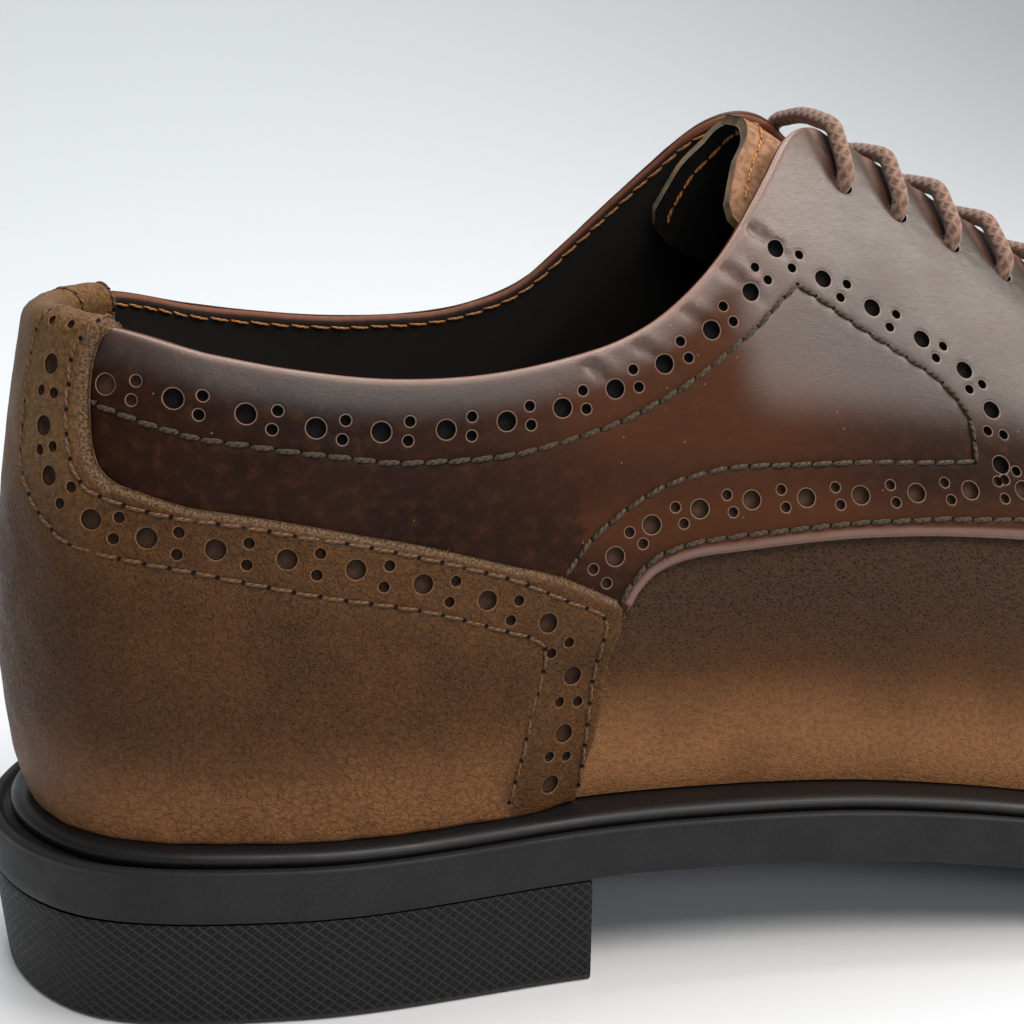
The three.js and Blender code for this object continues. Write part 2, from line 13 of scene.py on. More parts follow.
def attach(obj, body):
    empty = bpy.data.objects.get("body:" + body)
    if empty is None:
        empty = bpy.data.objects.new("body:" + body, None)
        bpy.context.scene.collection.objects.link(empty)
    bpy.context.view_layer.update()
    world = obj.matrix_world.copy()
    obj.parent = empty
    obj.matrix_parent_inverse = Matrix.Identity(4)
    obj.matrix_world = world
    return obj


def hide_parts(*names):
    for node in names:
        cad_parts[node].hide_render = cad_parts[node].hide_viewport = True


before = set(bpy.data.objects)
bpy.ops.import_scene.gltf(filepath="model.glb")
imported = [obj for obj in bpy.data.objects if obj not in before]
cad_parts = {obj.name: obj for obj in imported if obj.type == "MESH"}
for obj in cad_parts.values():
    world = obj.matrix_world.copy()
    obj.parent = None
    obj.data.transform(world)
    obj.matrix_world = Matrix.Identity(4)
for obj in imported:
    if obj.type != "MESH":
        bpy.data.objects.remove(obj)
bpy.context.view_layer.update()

# The last: its length, the width at the ball and the heights of instep, heel feather and back seam
LAST_LENGTH = 284.0
BALL_WIDTH = 88.5
INSTEP_HEIGHT = 102.5
HEEL_HEIGHT = 23.4
BACK_HEIGHT = 66.0
CREST_SHIFT = 3.0
# How far the sole stands out, its extra at the back, and the heel block's step, tuck and length
SOLE_OUT, SOLE_BACK, HEEL_STEP, HEEL_TUCK, HEEL_LENGTH = 5.5, 1.4, .5, .8, 70.0
ORIGIN_X = (HEEL_LENGTH - SOLE_OUT + HEEL_STEP - SOLE_BACK + HEEL_TUCK) / 2
# Between these x the sections stand across the last; beyond them they fan out
BACK_FAN, TOE_FAN = .085 * LAST_LENGTH, .887 * LAST_LENGTH
# Where the crest leaves the middle line, and over what run it reaches its shift
CREST_TURN, CREST_RUN = .105, .21
# Steps of arc and of a section's parameter for measuring a direction
STEP, PART = .3, .004
BATCH = 20000
rng = np.random.default_rng(7)

# Plan outline, as shares of the length and of the ball width
OUTLINE = dict(
    x=[0, .028, .113, .254, .37, .493, .627, .754, .87, .962, 1, .977, .90, .782, .669, .528, .38, .254,
       .113, .028],
    y=[0, -.203, -.297, -.314, -.356, -.435, -.503, -.48, -.372, -.18, .045, .25, .39, .48, .497, .418,
       .328, .297, .292, .203])
# Heights and fullness of the sections along the last
SECTIONS = dict(
    x=[0, .141, .296, .394, .493, .599, .704, .81, .908, 1],
    feather=[1.05, 1.0, 1.034, 1.0, .855, .54, .42, .436, .564, .77],
    crest=[1.27, 1.28, 1.27, 1.155, 1.0, .795, .615, .512, .444, .41],
    flare=[.10, .085, .068, .056, .045, .034, .040, .051, .056, .056],
    rise=[.27, .27, .27, .32, .40, .46, .50, .55, .55, .55],
    shoulder=[.55, .58, .55, .50, .49, .49, .50, .55, .60, .60])
SOLE_DEPTH = dict(
    x=[0, .25, .317, .45, .56, .68, .8, 1],
    depth=[.40, .39, .406, .41, .42, .44, .44, .41])
# Height of the collar line by arc, for the outer side (1) and the inner side (-1)
TOPLINE = {
    1: dict(a=[0, .085, .158, .232, .289, .338, .377, .405, .426, .439, .465, .528, .599, .658],
            b=[1, .985, .924, .888, .906, .976, 1.121, 1.282, 1.405, 1.443, 1.418, 1.338, 1.265, 1.212]),
    -1: dict(a=[0, .085, .158, .232, .285, .317, .349, .384, .408, .426, .44, .465, .528, .599, .658],
             b=[1, 1.015, .974, .947, .96, 1.01, 1.136, 1.293, 1.405, 1.45, 1.45, 1.385, 1.28, 1.19,
                1.106])}


def smooth(table, key, value, at="x"):
    """Smooth curve through one column of a table."""
    xs, ys = np.asarray(table[at], float), np.asarray(table[key], float)
    h = np.diff(xs)
    d = np.diff(ys) / h
    m = np.concatenate([d[:1], (d[:-1] * h[1:] + d[1:] * h[:-1]) / (h[:-1] + h[1:]), d[-1:]])
    x = np.clip(value, xs[0], xs[-1])
    i = np.clip(np.searchsorted(xs, x, side="left") - 1, 0, len(h) - 1)
    t = (x - xs[i]) / h[i]
    return (ys[i] * (1 + 2 * t) * (1 - t) ** 2 + m[i] * h[i] * t * (1 - t) ** 2
            + ys[i + 1] * t * t * (3 - 2 * t) + m[i + 1] * h[i] * t * t * (t - 1))


def ease(t):
    t = np.clip(t, 0, 1)
    return t * t * (3 - 2 * t)


def curve(points, step, closed=False):
    """Centripetal Catmull-Rom curve through points, as points step apart."""
    p = np.asarray(points, float)
    n = len(p)
    if not closed:
        p = np.vstack([2 * p[0] - p[1], p, 2 * p[-1] - p[-2]])
    out, fine = [], 60
    w = np.linspace(0, 1, fine, endpoint=False)[:, None]
    for i in range(n if closed else n - 1):
        p0, p1, p2, p3 = [p[(i + k - (1 if closed else 0)) % len(p)] for k in range(4)]
        d0, d1, d2 = [max(np.linalg.norm(v), 1e-6) ** .5 for v in (p1 - p0, p2 - p1, p3 - p2)]
        t1 = ((p1 - p0) / d0 - (p2 - p0) / (d0 + d1) + (p2 - p1) / d1) * d1
        t2 = ((p2 - p1) / d1 - (p3 - p1) / (d1 + d2) + (p3 - p2) / d2) * d1
        out.append(p1 + t1 * w + (-3 * p1 + 3 * p2 - 2 * t1 - t2) * w ** 2
                   + (2 * p1 - 2 * p2 + t1 + t2) * w ** 3)
    out.append(p[:1] if closed else p[-2:-1])
    line = np.vstack(out)
    return line if step is None else spaced(line, step)


def run_along(line):
    """Distance run at each point of a line."""
    return np.concatenate([[0], np.cumsum(np.linalg.norm(np.diff(line, axis=0), axis=1))])


def spaced(line, step):
    """The same line as points about step apart."""
    run = run_along(line)
    at = np.linspace(0, run[-1], max(2, round(run[-1] / step) + 1))
    return np.stack([np.interp(at, run, line[:, k]) for k in range(line.shape[1])], 1)


PLAN = curve(np.stack([np.array(OUTLINE["x"]) * LAST_LENGTH, np.array(OUTLINE["y"]) * BALL_WIDTH], 1),
             None, closed=True)
PLAN_ARC = run_along(PLAN)
PERIMETER = PLAN_ARC[-1]
TOE_ARC = PLAN_ARC[np.argmax(PLAN[:, 0])]


def outline(s):
    s = np.mod(s, PERIMETER)
    return np.stack([np.interp(s, PLAN_ARC, PLAN[:, k]) for k in (0, 1)], -1)


def arc_at(x, sign):
    """Arc to the point of one side that lies at x."""
    fine = 4000
    s = np.linspace(0, TOE_ARC if sign > 0 else PERIMETER - TOE_ARC, fine)
    return sign * np.interp(x, outline(sign * s)[:, 0], s)


def feather(x):
    return HEEL_HEIGHT * smooth(SECTIONS, "feather", x / LAST_LENGTH)


def crest(x):
    return INSTEP_HEIGHT * smooth(SECTIONS, "crest", x / LAST_LENGTH)


def underside(x):
    return np.maximum(0, feather(x) - HEEL_HEIGHT * smooth(SOLE_DEPTH, "depth", x / LAST_LENGTH))


def plan_normal(s):
    along = outline(s + STEP) - outline(s - STEP)
    along /= np.linalg.norm(along, axis=-1, keepdims=True)
    return np.stack([along[..., 1], -along[..., 0]], -1)


def section(s):
    """Four control points of the last's section at each s, and the crest's pitch."""
    foot = outline(s)
    x = np.clip(foot[:, 0], BACK_FAN, TOE_FAN)
    share = foot[:, 0] / LAST_LENGTH
    y = CREST_SHIFT * np.clip((share - CREST_TURN) / CREST_RUN, 0, 1)
    low, high = feather(foot[:, 0]), crest(x)
    pitch = (crest(x + 1) - crest(x - 1)) / 2
    out = foot - np.stack([x, y], 1)
    reach = np.linalg.norm(out, axis=1)
    out /= reach[:, None]
    flare = BALL_WIDTH * smooth(SECTIONS, "flare", share)
    rise = smooth(SECTIONS, "rise", share) * (high - low)
    shoulder = smooth(SECTIONS, "shoulder", share) * reach
    n = plan_normal(s)
    return np.stack([
        np.stack([foot[:, 0], foot[:, 1], low], 1),
        np.stack([foot[:, 0] + n[:, 0] * flare, foot[:, 1] + n[:, 1] * flare, low + rise], 1),
        np.stack([x + out[:, 0] * shoulder, y + out[:, 1] * shoulder,
                  high + pitch * out[:, 0] * shoulder], 1),
        np.stack([x, y, high], 1)], 1), pitch


def bezier(p, u):
    u = u[..., None]
    v = 1 - u
    return p[:, 0] * v ** 3 + 3 * p[:, 1] * u * v * v + 3 * p[:, 2] * u * u * v + p[:, 3] * u ** 3


def runs_across(rows):
    """Distance run along each row of a grid of points."""
    steps = np.linalg.norm(np.diff(rows, axis=1), axis=2)
    return np.concatenate([np.zeros((len(rows), 1)), np.cumsum(steps, 1)], 1)


def heights(p, steps=40):
    """Arc lengths up each section at even shares of its parameter."""
    u = np.linspace(0, 1, steps + 1)
    line = np.stack([bezier(p, np.full(len(p), k)) for k in u], 1)
    return runs_across(line)


def wall_height(s):
    return heights(section(np.atleast_1d(np.asarray(s, float)))[0])[:, -1]


def wall(s, b, offset=0.0):
    """Points of the wall, with any number of arcs, heights and offsets."""
    s, b, offset = np.broadcast_arrays(*(np.asarray(v, float) for v in (s, b, offset)))
    shape = s.shape
    s, b, offset = s.ravel(), b.ravel(), offset.ravel()
    out = np.empty((len(s), 3))
    for k in range(0, len(s), BATCH):
        part = slice(k, k + BATCH)
        p, pitch = section(s[part])
        h = heights(p)
        steps = h.shape[1] - 1
        here = b[part][:, None]
        i = np.clip((h < here).sum(1), 1, steps)
        rows = np.arange(len(i))
        u = (i - 1 + (b[part] - h[rows, i - 1]) / (h[rows, i] - h[rows, i - 1])) / steps
        point = bezier(p, u)
        v = np.clip(u, PART, 1 - PART)
        up = bezier(p, v + PART) - bezier(p, v - PART)
        along = bezier(section(s[part] + STEP)[0], v) - bezier(section(s[part] - STEP)[0], v)
        n = np.cross(along, up)
        n /= np.linalg.norm(n, axis=1, keepdims=True) + 1e-12
        top = np.stack([-pitch, 0 * pitch, 1 + 0 * pitch], 1)
        top /= np.linalg.norm(top, axis=1, keepdims=True)
        at_crest = u > 1 - 1.25 * PART
        n = np.where(at_crest[:, None], top, n)
        out[part] = point + n * offset[part][:, None]
    return out.reshape(shape + (3,))


def topline(s):
    s = np.asarray(s, float)
    share = np.abs(s) / LAST_LENGTH
    return BACK_HEIGHT * np.where(s > 0, smooth(TOPLINE[1], "b", share, "a"),
                                  smooth(TOPLINE[-1], "b", share, "a"))


def to_frame(points):
    """Feather frame in millimetres to the part's frame in metres."""
    return (np.asarray(points, float) - [ORIGIN_X, 0, 0]) / 1000


def make(name, points, faces, materials, replaces=(), attributes=None, index=None):
    """A mesh object from points in the feather frame and faces, riding on the root."""
    mesh = bpy.data.meshes.new(name)
    points = np.asarray(points, float)
    sizes = np.concatenate([np.full(len(f), f.shape[1]) for f in faces if len(f)])
    loops = np.concatenate([f.ravel() for f in faces if len(f)])
    mesh.vertices.add(len(points))
    mesh.vertices.foreach_set("co", to_frame(points).ravel())
    mesh.loops.add(len(loops))
    mesh.loops.foreach_set("vertex_index", loops.astype(np.int32))
    mesh.polygons.add(len(sizes))
    mesh.polygons.foreach_set("loop_start", np.concatenate([[0], np.cumsum(sizes)[:-1]]).astype(np.int32))
    mesh.polygons.foreach_set("use_smooth", np.full(len(sizes), True))
    if index is not None:
        mesh.polygons.foreach_set("material_index", np.asarray(index, np.int32))
    for key, values in (attributes or {}).items():
        values = np.asarray(values, float)
        if values.shape[1] == 3:
            mesh.attributes.new(key, "FLOAT_VECTOR", "POINT").data.foreach_set("vector", values.ravel())
        else:
            mesh.attributes.new(key, "FLOAT_COLOR", "POINT").data.foreach_set("color", values.ravel())
    mesh.update(calc_edges=True)
    mesh.validate()
    for material in materials:
        mesh.materials.append(material)
    piece = bpy.data.objects.new(name, mesh)
    bpy.context.scene.collection.objects.link(piece)
    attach(piece, "root")
    if replaces:
        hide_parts(*replaces)
    return piece


def quads(rows, columns, closed=False, flip=False, start=0):
    """Faces of a grid of rows by columns; closed joins the last row to the first."""
    i = np.arange(rows if closed else rows - 1)[:, None]
    j = np.arange(columns - 1)[None, :]
    after = (i + 1) % rows
    faces = np.stack([i * columns + j, after * columns + j, after * columns + j + 1, i * columns + j + 1],
                     -1).reshape(-1, 4)
    return start + (faces[:, ::-1] if flip else faces)


def distance(points, line):
    """Distance of each point to a polyline, and the run along it of the nearest point."""
    a, b = line[:-1], line[1:]
    d = b - a
    length = np.linalg.norm(d, axis=1)
    run = np.concatenate([[0], np.cumsum(length)])
    best = np.full(len(points), 1e9)
    at = np.zeros(len(points))
    for k in range(len(a)):
        t = np.clip(((points - a[k]) @ d[k]) / max(length[k] ** 2, 1e-9), 0, 1)
        here = np.linalg.norm(points - a[k] - t[:, None] * d[k], axis=1)
        near = here < best
        best = np.where(near, here, best)
        at = np.where(near, run[k] + t * length[k], at)
    return best, at


def inside(points, polygon):
    x, y = points[:, 0], points[:, 1]
    result = np.zeros(len(points), bool)
    for (x0, y0), (x1, y1) in zip(polygon, np.roll(polygon, -1, axis=0)):
        if y0 != y1:
            result ^= ((y0 > y) != (y1 > y)) & (x < (x1 - x0) * (y - y0) / (y1 - y0) + x0)
    return result


def stretch(s, b):
    """Real width of one unit of s at each place."""
    return np.clip(np.linalg.norm(wall(s + .5, b) - wall(s - .5, b), axis=-1), .3, 1.6)


# Rings of points: in from a sheet's edge, round a hole, and beside a stitch line
EDGE_RINGS = (.12, .3, .6, 1.0, 1.6)
HOLE_RINGS = (0, .1, .26, .55)
LINE_RINGS = (0, -.45, .45, -.95, .95)
MOST_POINTS = 400000
FAR = 9.0


def cut_sheet(edge, holes=(), lines=(), pitch=1.0):
    """Triangles of a sheet in (s, b), with rings along its edge, round its holes and beside its stitch lines.
    Returns the places, their distances to edge, hole rim and line, the faces and the loops."""
    edge = np.asarray(edge, float)
    along = np.roll(edge, -1, axis=0) - np.roll(edge, 1, axis=0)
    along /= np.linalg.norm(along, axis=1, keepdims=True)
    area = np.sum(edge[:, 0] * np.roll(edge[:, 1], -1) - np.roll(edge[:, 0], -1) * edge[:, 1])
    normal = np.stack([-along[:, 1], along[:, 0]], 1) * (1 if area > 0 else -1)
    normal[:, 0] /= stretch(edge[:, 0], np.clip(edge[:, 1], 1, None))
    closed = np.vstack([edge, edge[:1]])
    places = [edge]
    taken = KDTree(MOST_POINTS)
    count = 0

    def take(points):
        nonlocal count
        for p in points:
            taken.insert((p[0], p[1], 0), count)
            count += 1
        taken.balance()

    def free(points, gap):
        keep = np.array([taken.find((p[0], p[1], 0))[2] > gap for p in points], bool)
        return points[keep]

    take(edge)
    loops, spans = [], len(edge)
    hole_points = []
    for s, b, r in holes:
        wide = stretch(np.array([s]), np.array([b]))[0]
        n = 22 if r > .9 else 14
        turn = np.linspace(0, 2 * np.pi, n, endpoint=False)
        for ring in HOLE_RINGS:
            circle = np.stack([s + np.cos(turn) * (r + ring) / wide, b + np.sin(turn) * (r + ring)], 1)
            hole_points.append(circle)
            if ring == 0:
                loops.append(spans + np.arange(n))
            spans += n
        hole_points.append(np.array([[s, b]]))
        spans += 1
    if hole_points:
        hole_points = np.vstack(hole_points)
        places.append(hole_points)
        take(hole_points)
    rings = []
    for ring in EDGE_RINGS:
        points = edge + normal * ring
        gap = distance(points, closed)[0]
        points = points[(gap > .75 * ring) & inside(points, edge)]
        rings.append(points)
    rings = [free(points, .2) for points in rings]
    places += rings
    take(np.vstack(rings))
    guides = []
    for line in lines:
        line = spaced(np.asarray(line, float), .75)
        d = np.gradient(line, axis=0)
        d /= np.linalg.norm(d, axis=1, keepdims=True)
        side = np.stack([-d[:, 1], d[:, 0]], 1)
        for shift in LINE_RINGS:
            guides.append(line + side * shift)
    if guides:
        guides = np.vstack(guides)
        guides = free(guides[inside(guides, edge)], .28)
        places.append(guides)
        take(guides)
    low, high = edge.min(0), edge.max(0)
    gx, gy = np.meshgrid(np.arange(low[0], high[0], pitch), np.arange(low[1], high[1], pitch * .87),
                         indexing="ij")
    gx = gx + .5 * pitch * (np.arange(gx.shape[1]) % 2)[None, :]
    field = np.stack([gx.ravel(), gy.ravel()], 1) + rng.normal(0, .06, (gx.size, 2))
    places.append(free(field[inside(field, edge)], .55 * pitch))
    places = np.vstack(places)
    edges = [(k, (k + 1) % len(edge)) for k in range(len(edge))]
    for loop in loops:
        edges += [(int(i), int(j)) for i, j in zip(loop, np.roll(loop, -1))]
    found = delaunay_2d_cdt([Vector(p) for p in places.tolist()], edges, [], 0, 1e-7)
    made = np.array([list(v) for v in found[0]])
    faces = np.array(found[2])
    source = np.full(len(made), -1)
    for k, origin in enumerate(found[3]):
        if origin:
            source[k] = origin[0]
    back = np.full(len(places), -1)
    back[source[source >= 0]] = np.nonzero(source >= 0)[0]
    middle = made[faces].mean(1)
    keep = inside(middle, edge)
    for s, b, r in holes:
        wide = stretch(np.array([s]), np.array([b]))[0]
        keep &= ((middle[:, 0] - s) * wide) ** 2 + (middle[:, 1] - b) ** 2 > (r * .97) ** 2
    faces = faces[keep]
    d_edge = distance(made, closed)[0]
    d_hole = np.full(len(made), FAR)
    for s, b, r in holes:
        wide = stretch(np.array([s]), np.array([b]))[0]
        d_hole = np.minimum(d_hole, np.hypot((made[:, 0] - s) * wide, made[:, 1] - b) - r)
    d_line = np.full(len(made), FAR)
    run = np.zeros(len(made))
    for line in lines:
        d, at = distance(made, np.asarray(line, float))
        run = np.where(d < d_line, at, run)
        d_line = np.minimum(d_line, d)
    return dict(at=made, faces=faces, edge=d_edge, hole=np.maximum(d_hole, 0), line=d_line, run=run,
                rim=back[:len(edge)], loops=[back[loop] for loop in loops], holes=list(holes))


def roll(d, radius):
    """Drop of a rounded edge at a distance from it."""
    t = np.clip(radius - d, 0, radius)
    return radius - np.sqrt(np.maximum(radius ** 2 - t ** 2, 0))


# A leather's dip at a hole's rim, the faint ring round it, and its trough along a stitch line
HOLE_DIP, HOLE_DIP_WIDTH = .17, .11
RING_DIP, RING_AT, RING_WIDTH = .035, .5, .35
SEAM_DIP, SEAM_WIDTH, STITCH_LENGTH = .16, .42, 3.0
# How deep the wall of a hole goes, by step, with its share of the radius; and its floor
HOLE_DEPTHS, HOLE_SHARES, HOLE_FLOOR = (.4, .95), (.97, .93), 1.0


def dress_sheet(name, sheet, place, height, radius, thickness, paint, materials, replaces=(),
                mirror=False, slope=None, tone=lambda s, b: 0):
    """A cut sheet laid on the wall, with its rolled edge, its skirt to the next layer and its holes."""
    at = sheet["at"]
    s, b = at[:, 0], at[:, 1]
    h = height(sheet)
    edge_radius = radius(s, b) if callable(radius) else radius
    depth = roll(sheet["edge"], edge_radius)
    rim_dip = (HOLE_DIP * np.exp(-(sheet["hole"] / HOLE_DIP_WIDTH))
               + RING_DIP * np.exp(-((sheet["hole"] - RING_AT) / RING_WIDTH) ** 2))
    trough = (SEAM_DIP * np.exp(-(sheet["line"] / SEAM_WIDTH) ** 2)
              * (.75 + .25 * np.cos(2 * np.pi * sheet["run"] / STITCH_LENGTH)))
    bevel = 0 if slope is None else .8 * np.clip(slope(s, b) - sheet["edge"], 0, 2)
    top = h - np.maximum(depth, bevel) - rim_dip * (sheet["hole"] < 3) - trough
    points = [place(s, b, top)]
    colors = [paint(sheet)]
    flats = [np.stack([s, b, 0 * s], 1)]
    faces = [sheet["faces"]]
    index = [np.zeros(len(sheet["faces"]))]
    count = len(at)
    rim = sheet["rim"]
    rim = rim[rim >= 0]

    def skirt(loop, drops, shrink=None, flip=False, tone_here=0):
        nonlocal count
        before = loop
        for k, drop in enumerate(drops):
            here = at[loop].copy()
            if shrink is not None:
                centre, amounts = shrink
                here = centre + (here - centre) * amounts[k]
            base = np.min(h[loop]) if shrink is not None else h[loop]
            points.append(place(here[:, 0], here[:, 1], base - drop))
            colors.append(np.tile([tone_here, 1.0, 0, 0], (len(loop), 1)) if shrink is not None
                          else colors[0][loop])
            flats.append(np.stack([here[:, 0], here[:, 1], np.full(len(here), drop)], 1))
            new = count + np.arange(len(loop))
            count += len(loop)
            face = np.stack([before, np.roll(before, -1), np.roll(new, -1), new], 1)
            faces.append(face[:, ::-1] if flip else face)
            index.append(np.full(len(face), 1 if shrink is not None else 2))
            before = new
        return before

    start = h[rim] - top[rim]
    skirt(rim, [start + np.maximum(thickness - start, .05) * t for t in (.5, 1.0)])
    # Each hole's wall and floor take the second material: painted shade, brown where tone shows the layer
    # below
    for (hs, hb, r), loop in zip(sheet["holes"], sheet["loops"]):
        centre = np.array([hs, hb])
        last = skirt(loop, HOLE_DEPTHS, (centre, HOLE_SHARES), flip=True, tone_here=tone(hs, hb) * .6)
        points.append(place(np.array([hs]), np.array([hb]), np.array([np.min(h[loop]) - HOLE_FLOOR])))
        colors.append(np.array([[tone(hs, hb), 1, 0, 0.]]))
        flats.append(np.array([[hs, hb, 1.]]))
        faces.append(np.stack([last, np.roll(last, -1), np.full(len(last), count)], 1)[:, ::-1])
        index.append(np.full(len(last), 1))
        count += 1
    tri = [f for f in faces if f.shape[1] == 3]
    quad = [f for f in faces if f.shape[1] == 4]
    order = np.concatenate([i for f, i in zip(faces, index) if f.shape[1] == 3]
                           + [i for f, i in zip(faces, index) if f.shape[1] == 4])
    tri, quad = np.vstack(tri), np.vstack(quad)
    if mirror:
        tri, quad = tri[:, ::-1], quad[:, ::-1]
    return make(name, np.vstack(points), [tri, quad], materials, replaces,
                dict(paint=np.vstack(colors), flat=np.vstack(flats)), order)


def tube(path, radius, sides=10, normals=None, length0=0.0):
    """Points, faces and flat coordinates of a closed tube along a path."""
    path = np.asarray(path, float)
    n = len(path)
    t = np.gradient(path, axis=0)
    t /= np.linalg.norm(t, axis=1, keepdims=True)
    if normals is None:
        u = np.cross(t[0], [.3, .2, 1.0])
        normals = np.empty_like(path)
        for i in range(n):
            u = u - t[i] * (u @ t[i])
            u /= np.linalg.norm(u)
            normals[i] = u
    else:
        normals = normals - t * np.sum(normals * t, 1, keepdims=True)
        normals = normals / np.linalg.norm(normals, axis=1, keepdims=True)
    w = np.cross(t, normals)
    turn = np.linspace(0, 2 * np.pi, sides, endpoint=False)
    radius = np.broadcast_to(radius, (n,))
    ring = (path[:, None] + radius[:, None, None] * (np.cos(turn)[None, :, None] * normals[:, None]
                                                     + np.sin(turn)[None, :, None] * w[:, None]))
    run = length0 + run_along(path)
    flat = np.stack([np.repeat(run, sides), np.tile(turn, n), np.zeros(n * sides)], 1)
    i = np.arange(n - 1)[:, None]
    j = np.arange(sides)[None, :]
    k = (j + 1) % sides
    faces = np.stack([i * sides + j, (i + 1) * sides + j, (i + 1) * sides + k, i * sides + k],
                     -1).reshape(-1, 4)
    fan, last = range(1, sides - 1), (n - 1) * sides
    caps = np.array([[0, a + 1, a] for a in fan] + [[last, last + a, last + a + 1] for a in fan])
    return ring.reshape(-1, 3), faces[:, ::-1], caps[:, ::-1], flat


def bundle(name, parts, material, replaces=()):
    """One mesh of many tubes."""
    points, quad, tri, flats, count = [], [], [], [], 0
    for p, q, c, f in parts:
        points.append(p)
        quad.append(q + count)
        tri.append(c + count)
        flats.append(f)
        count += len(p)
    return make(name, np.vstack(points), [np.vstack(tri), np.vstack(quad)], [material], replaces,
                dict(flat=np.vstack(flats)))


def stitches(line, place, length=STITCH_LENGTH, radius=.27, lift=.12, skew=.12):
    """Tubes for the stitches along a line in (s, b), each sinking into its holes at the ends."""
    line = np.asarray(line, float)
    run = run_along(line)
    n = max(1, round(run[-1] / length))
    ends = np.linspace(0, run[-1], n + 1)
    d = np.gradient(line, axis=0)
    d /= np.linalg.norm(d, axis=1, keepdims=True) + 1e-12
    parts = []
    for k in range(n):
        t = np.linspace(0, 1, 8)
        at = ends[k] + (ends[k + 1] - ends[k]) * (.03 + .94 * t)
        p = np.stack([np.interp(at, run, line[:, c]) for c in (0, 1)], 1)
        side = np.stack([-np.interp(at, run, d[:, 1]), np.interp(at, run, d[:, 0])], 1)
        p = p + side * ((t - .5) * 2 * skew + rng.normal(0, .25 * skew))[:, None]
        body = np.sin(np.pi * np.clip(t, .001, .999)) ** .45
        h = lift * body - (1 - body) * .35 + rng.normal(0, .03)
        path = place(p[:, 0], p[:, 1], h)
        up = place(p[:, 0], p[:, 1], h + .5) - path
        parts.append(tube(path, radius * (.55 + .45 * body), 8, up, length0=k * 3.1))
    return parts


def stitch_hole_shade(line, place, length=STITCH_LENGTH, radius=.3):
    """Short dark plugs of painted shade, one where each stitch goes down."""
    line = np.asarray(line, float)
    run = run_along(line)
    count = max(1, round(run[-1] / length))
    at = np.linspace(0, run[-1], count + 1)
    spots = np.stack([np.interp(at, run, line[:, c]) for c in (0, 1)], 1)
    low, high = (place(spots[:, 0], spots[:, 1], np.full(len(spots), h)) for h in (-.4, -.03))
    return [tube(np.array([p, q]), radius, 8) for p, q in zip(low, high)]


class Nodes:
    """Short way to build a node tree: each call makes a node, sets its inputs and returns it."""

    def __init__(self, name):
        self.material = bpy.data.materials.new(name)
        self.material.use_nodes = True
        self.tree = self.material.node_tree
        self.tree.nodes.clear()

    def add(self, kind, inputs=None, **settings):
        node = self.tree.nodes.new("ShaderNode" + kind)
        for key, value in settings.items():
            setattr(node, key, value)
        for key, value in (inputs or {}).items():
            if isinstance(value, bpy.types.NodeSocket):
                self.tree.links.new(value, node.inputs[key])
            else:
                node.inputs[key].default_value = value
        return node

    def math(self, operation, a, b=None, clamp=False):
        inputs = {0: a}
        if b is not None:
            inputs[1] = b
        return self.add("Math", inputs, operation=operation, use_clamp=clamp).outputs[0]

    def times(self, a, b, clamp=False):
        return self.math("MULTIPLY", a, b, clamp)

    def mix(self, share, a, b):
        return self.add("Mix", {0: share, 6: a, 7: b}, data_type="RGBA").outputs[2]

    def tint(self, color, share, other, amount):
        """The colour mixed with a screen colour where share is high, up to an amount."""
        return self.mix(self.times(share, amount), color, rgb(*other))

    def between(self, value, low, high, start=0.0, end=1.0):
        return self.add("MapRange", {0: value, 1: low, 2: high, 3: start, 4: end},
                        interpolation_type="SMOOTHSTEP").outputs[0]

    def attribute(self, name):
        return self.add("Attribute", attribute_name=name)

    def paint(self):
        channels = self.add("SeparateColor", {0: self.attribute("paint").outputs["Color"]})
        return [*channels.outputs[:3], self.attribute("paint").outputs["Alpha"]]

    def flat(self, scale=(1, 1, 1), turn=0.0):
        return self.add("Mapping", {0: self.attribute("flat").outputs["Vector"], "Scale": scale,
                                    "Rotation": (0, 0, turn)}).outputs[0]

    def solid(self, scale=1000.0):
        place = self.add("TexCoord").outputs["Object"]
        return self.add("Mapping", {0: place, "Scale": (scale,) * 3}).outputs[0]

    def noise(self, vector, scale, detail=3.0, rough=.5, distort=0.0):
        return self.add("TexNoise", {"Vector": vector, "Scale": scale, "Detail": detail, "Roughness": rough,
                                     "Distortion": distort}).outputs[0]

    def bump(self, height, distance, strength=1.0, normal=None):
        inputs = {"Height": height, "Distance": distance, "Strength": strength}
        if normal is not None:
            inputs["Normal"] = normal
        return self.add("Bump", inputs).outputs[0]

    def finish(self, color, rough, normal=None, sheen=0.0, specular=.5):
        inputs = {"Base Color": color, "Roughness": rough, "Sheen Weight": sheen,
                  "Specular IOR Level": specular}
        if normal is not None:
            inputs["Normal"] = normal
        shader = self.add("BsdfPrincipled", inputs)
        self.add("OutputMaterial", {0: shader.outputs[0]})
        return self.material


def rgb(r, g, b):
    """A screen colour, 0 to 255, as linear light."""
    return tuple(((v / 255 + .055) / 1.055) ** 2.4 if v > 10 else v / 255 / 12.92
                 for v in (r, g, b)) + (1.0,)


def shaded(color, share):
    """A colour made darker or lighter by a share."""
    return tuple(c * share for c in color[:3]) + (1,)


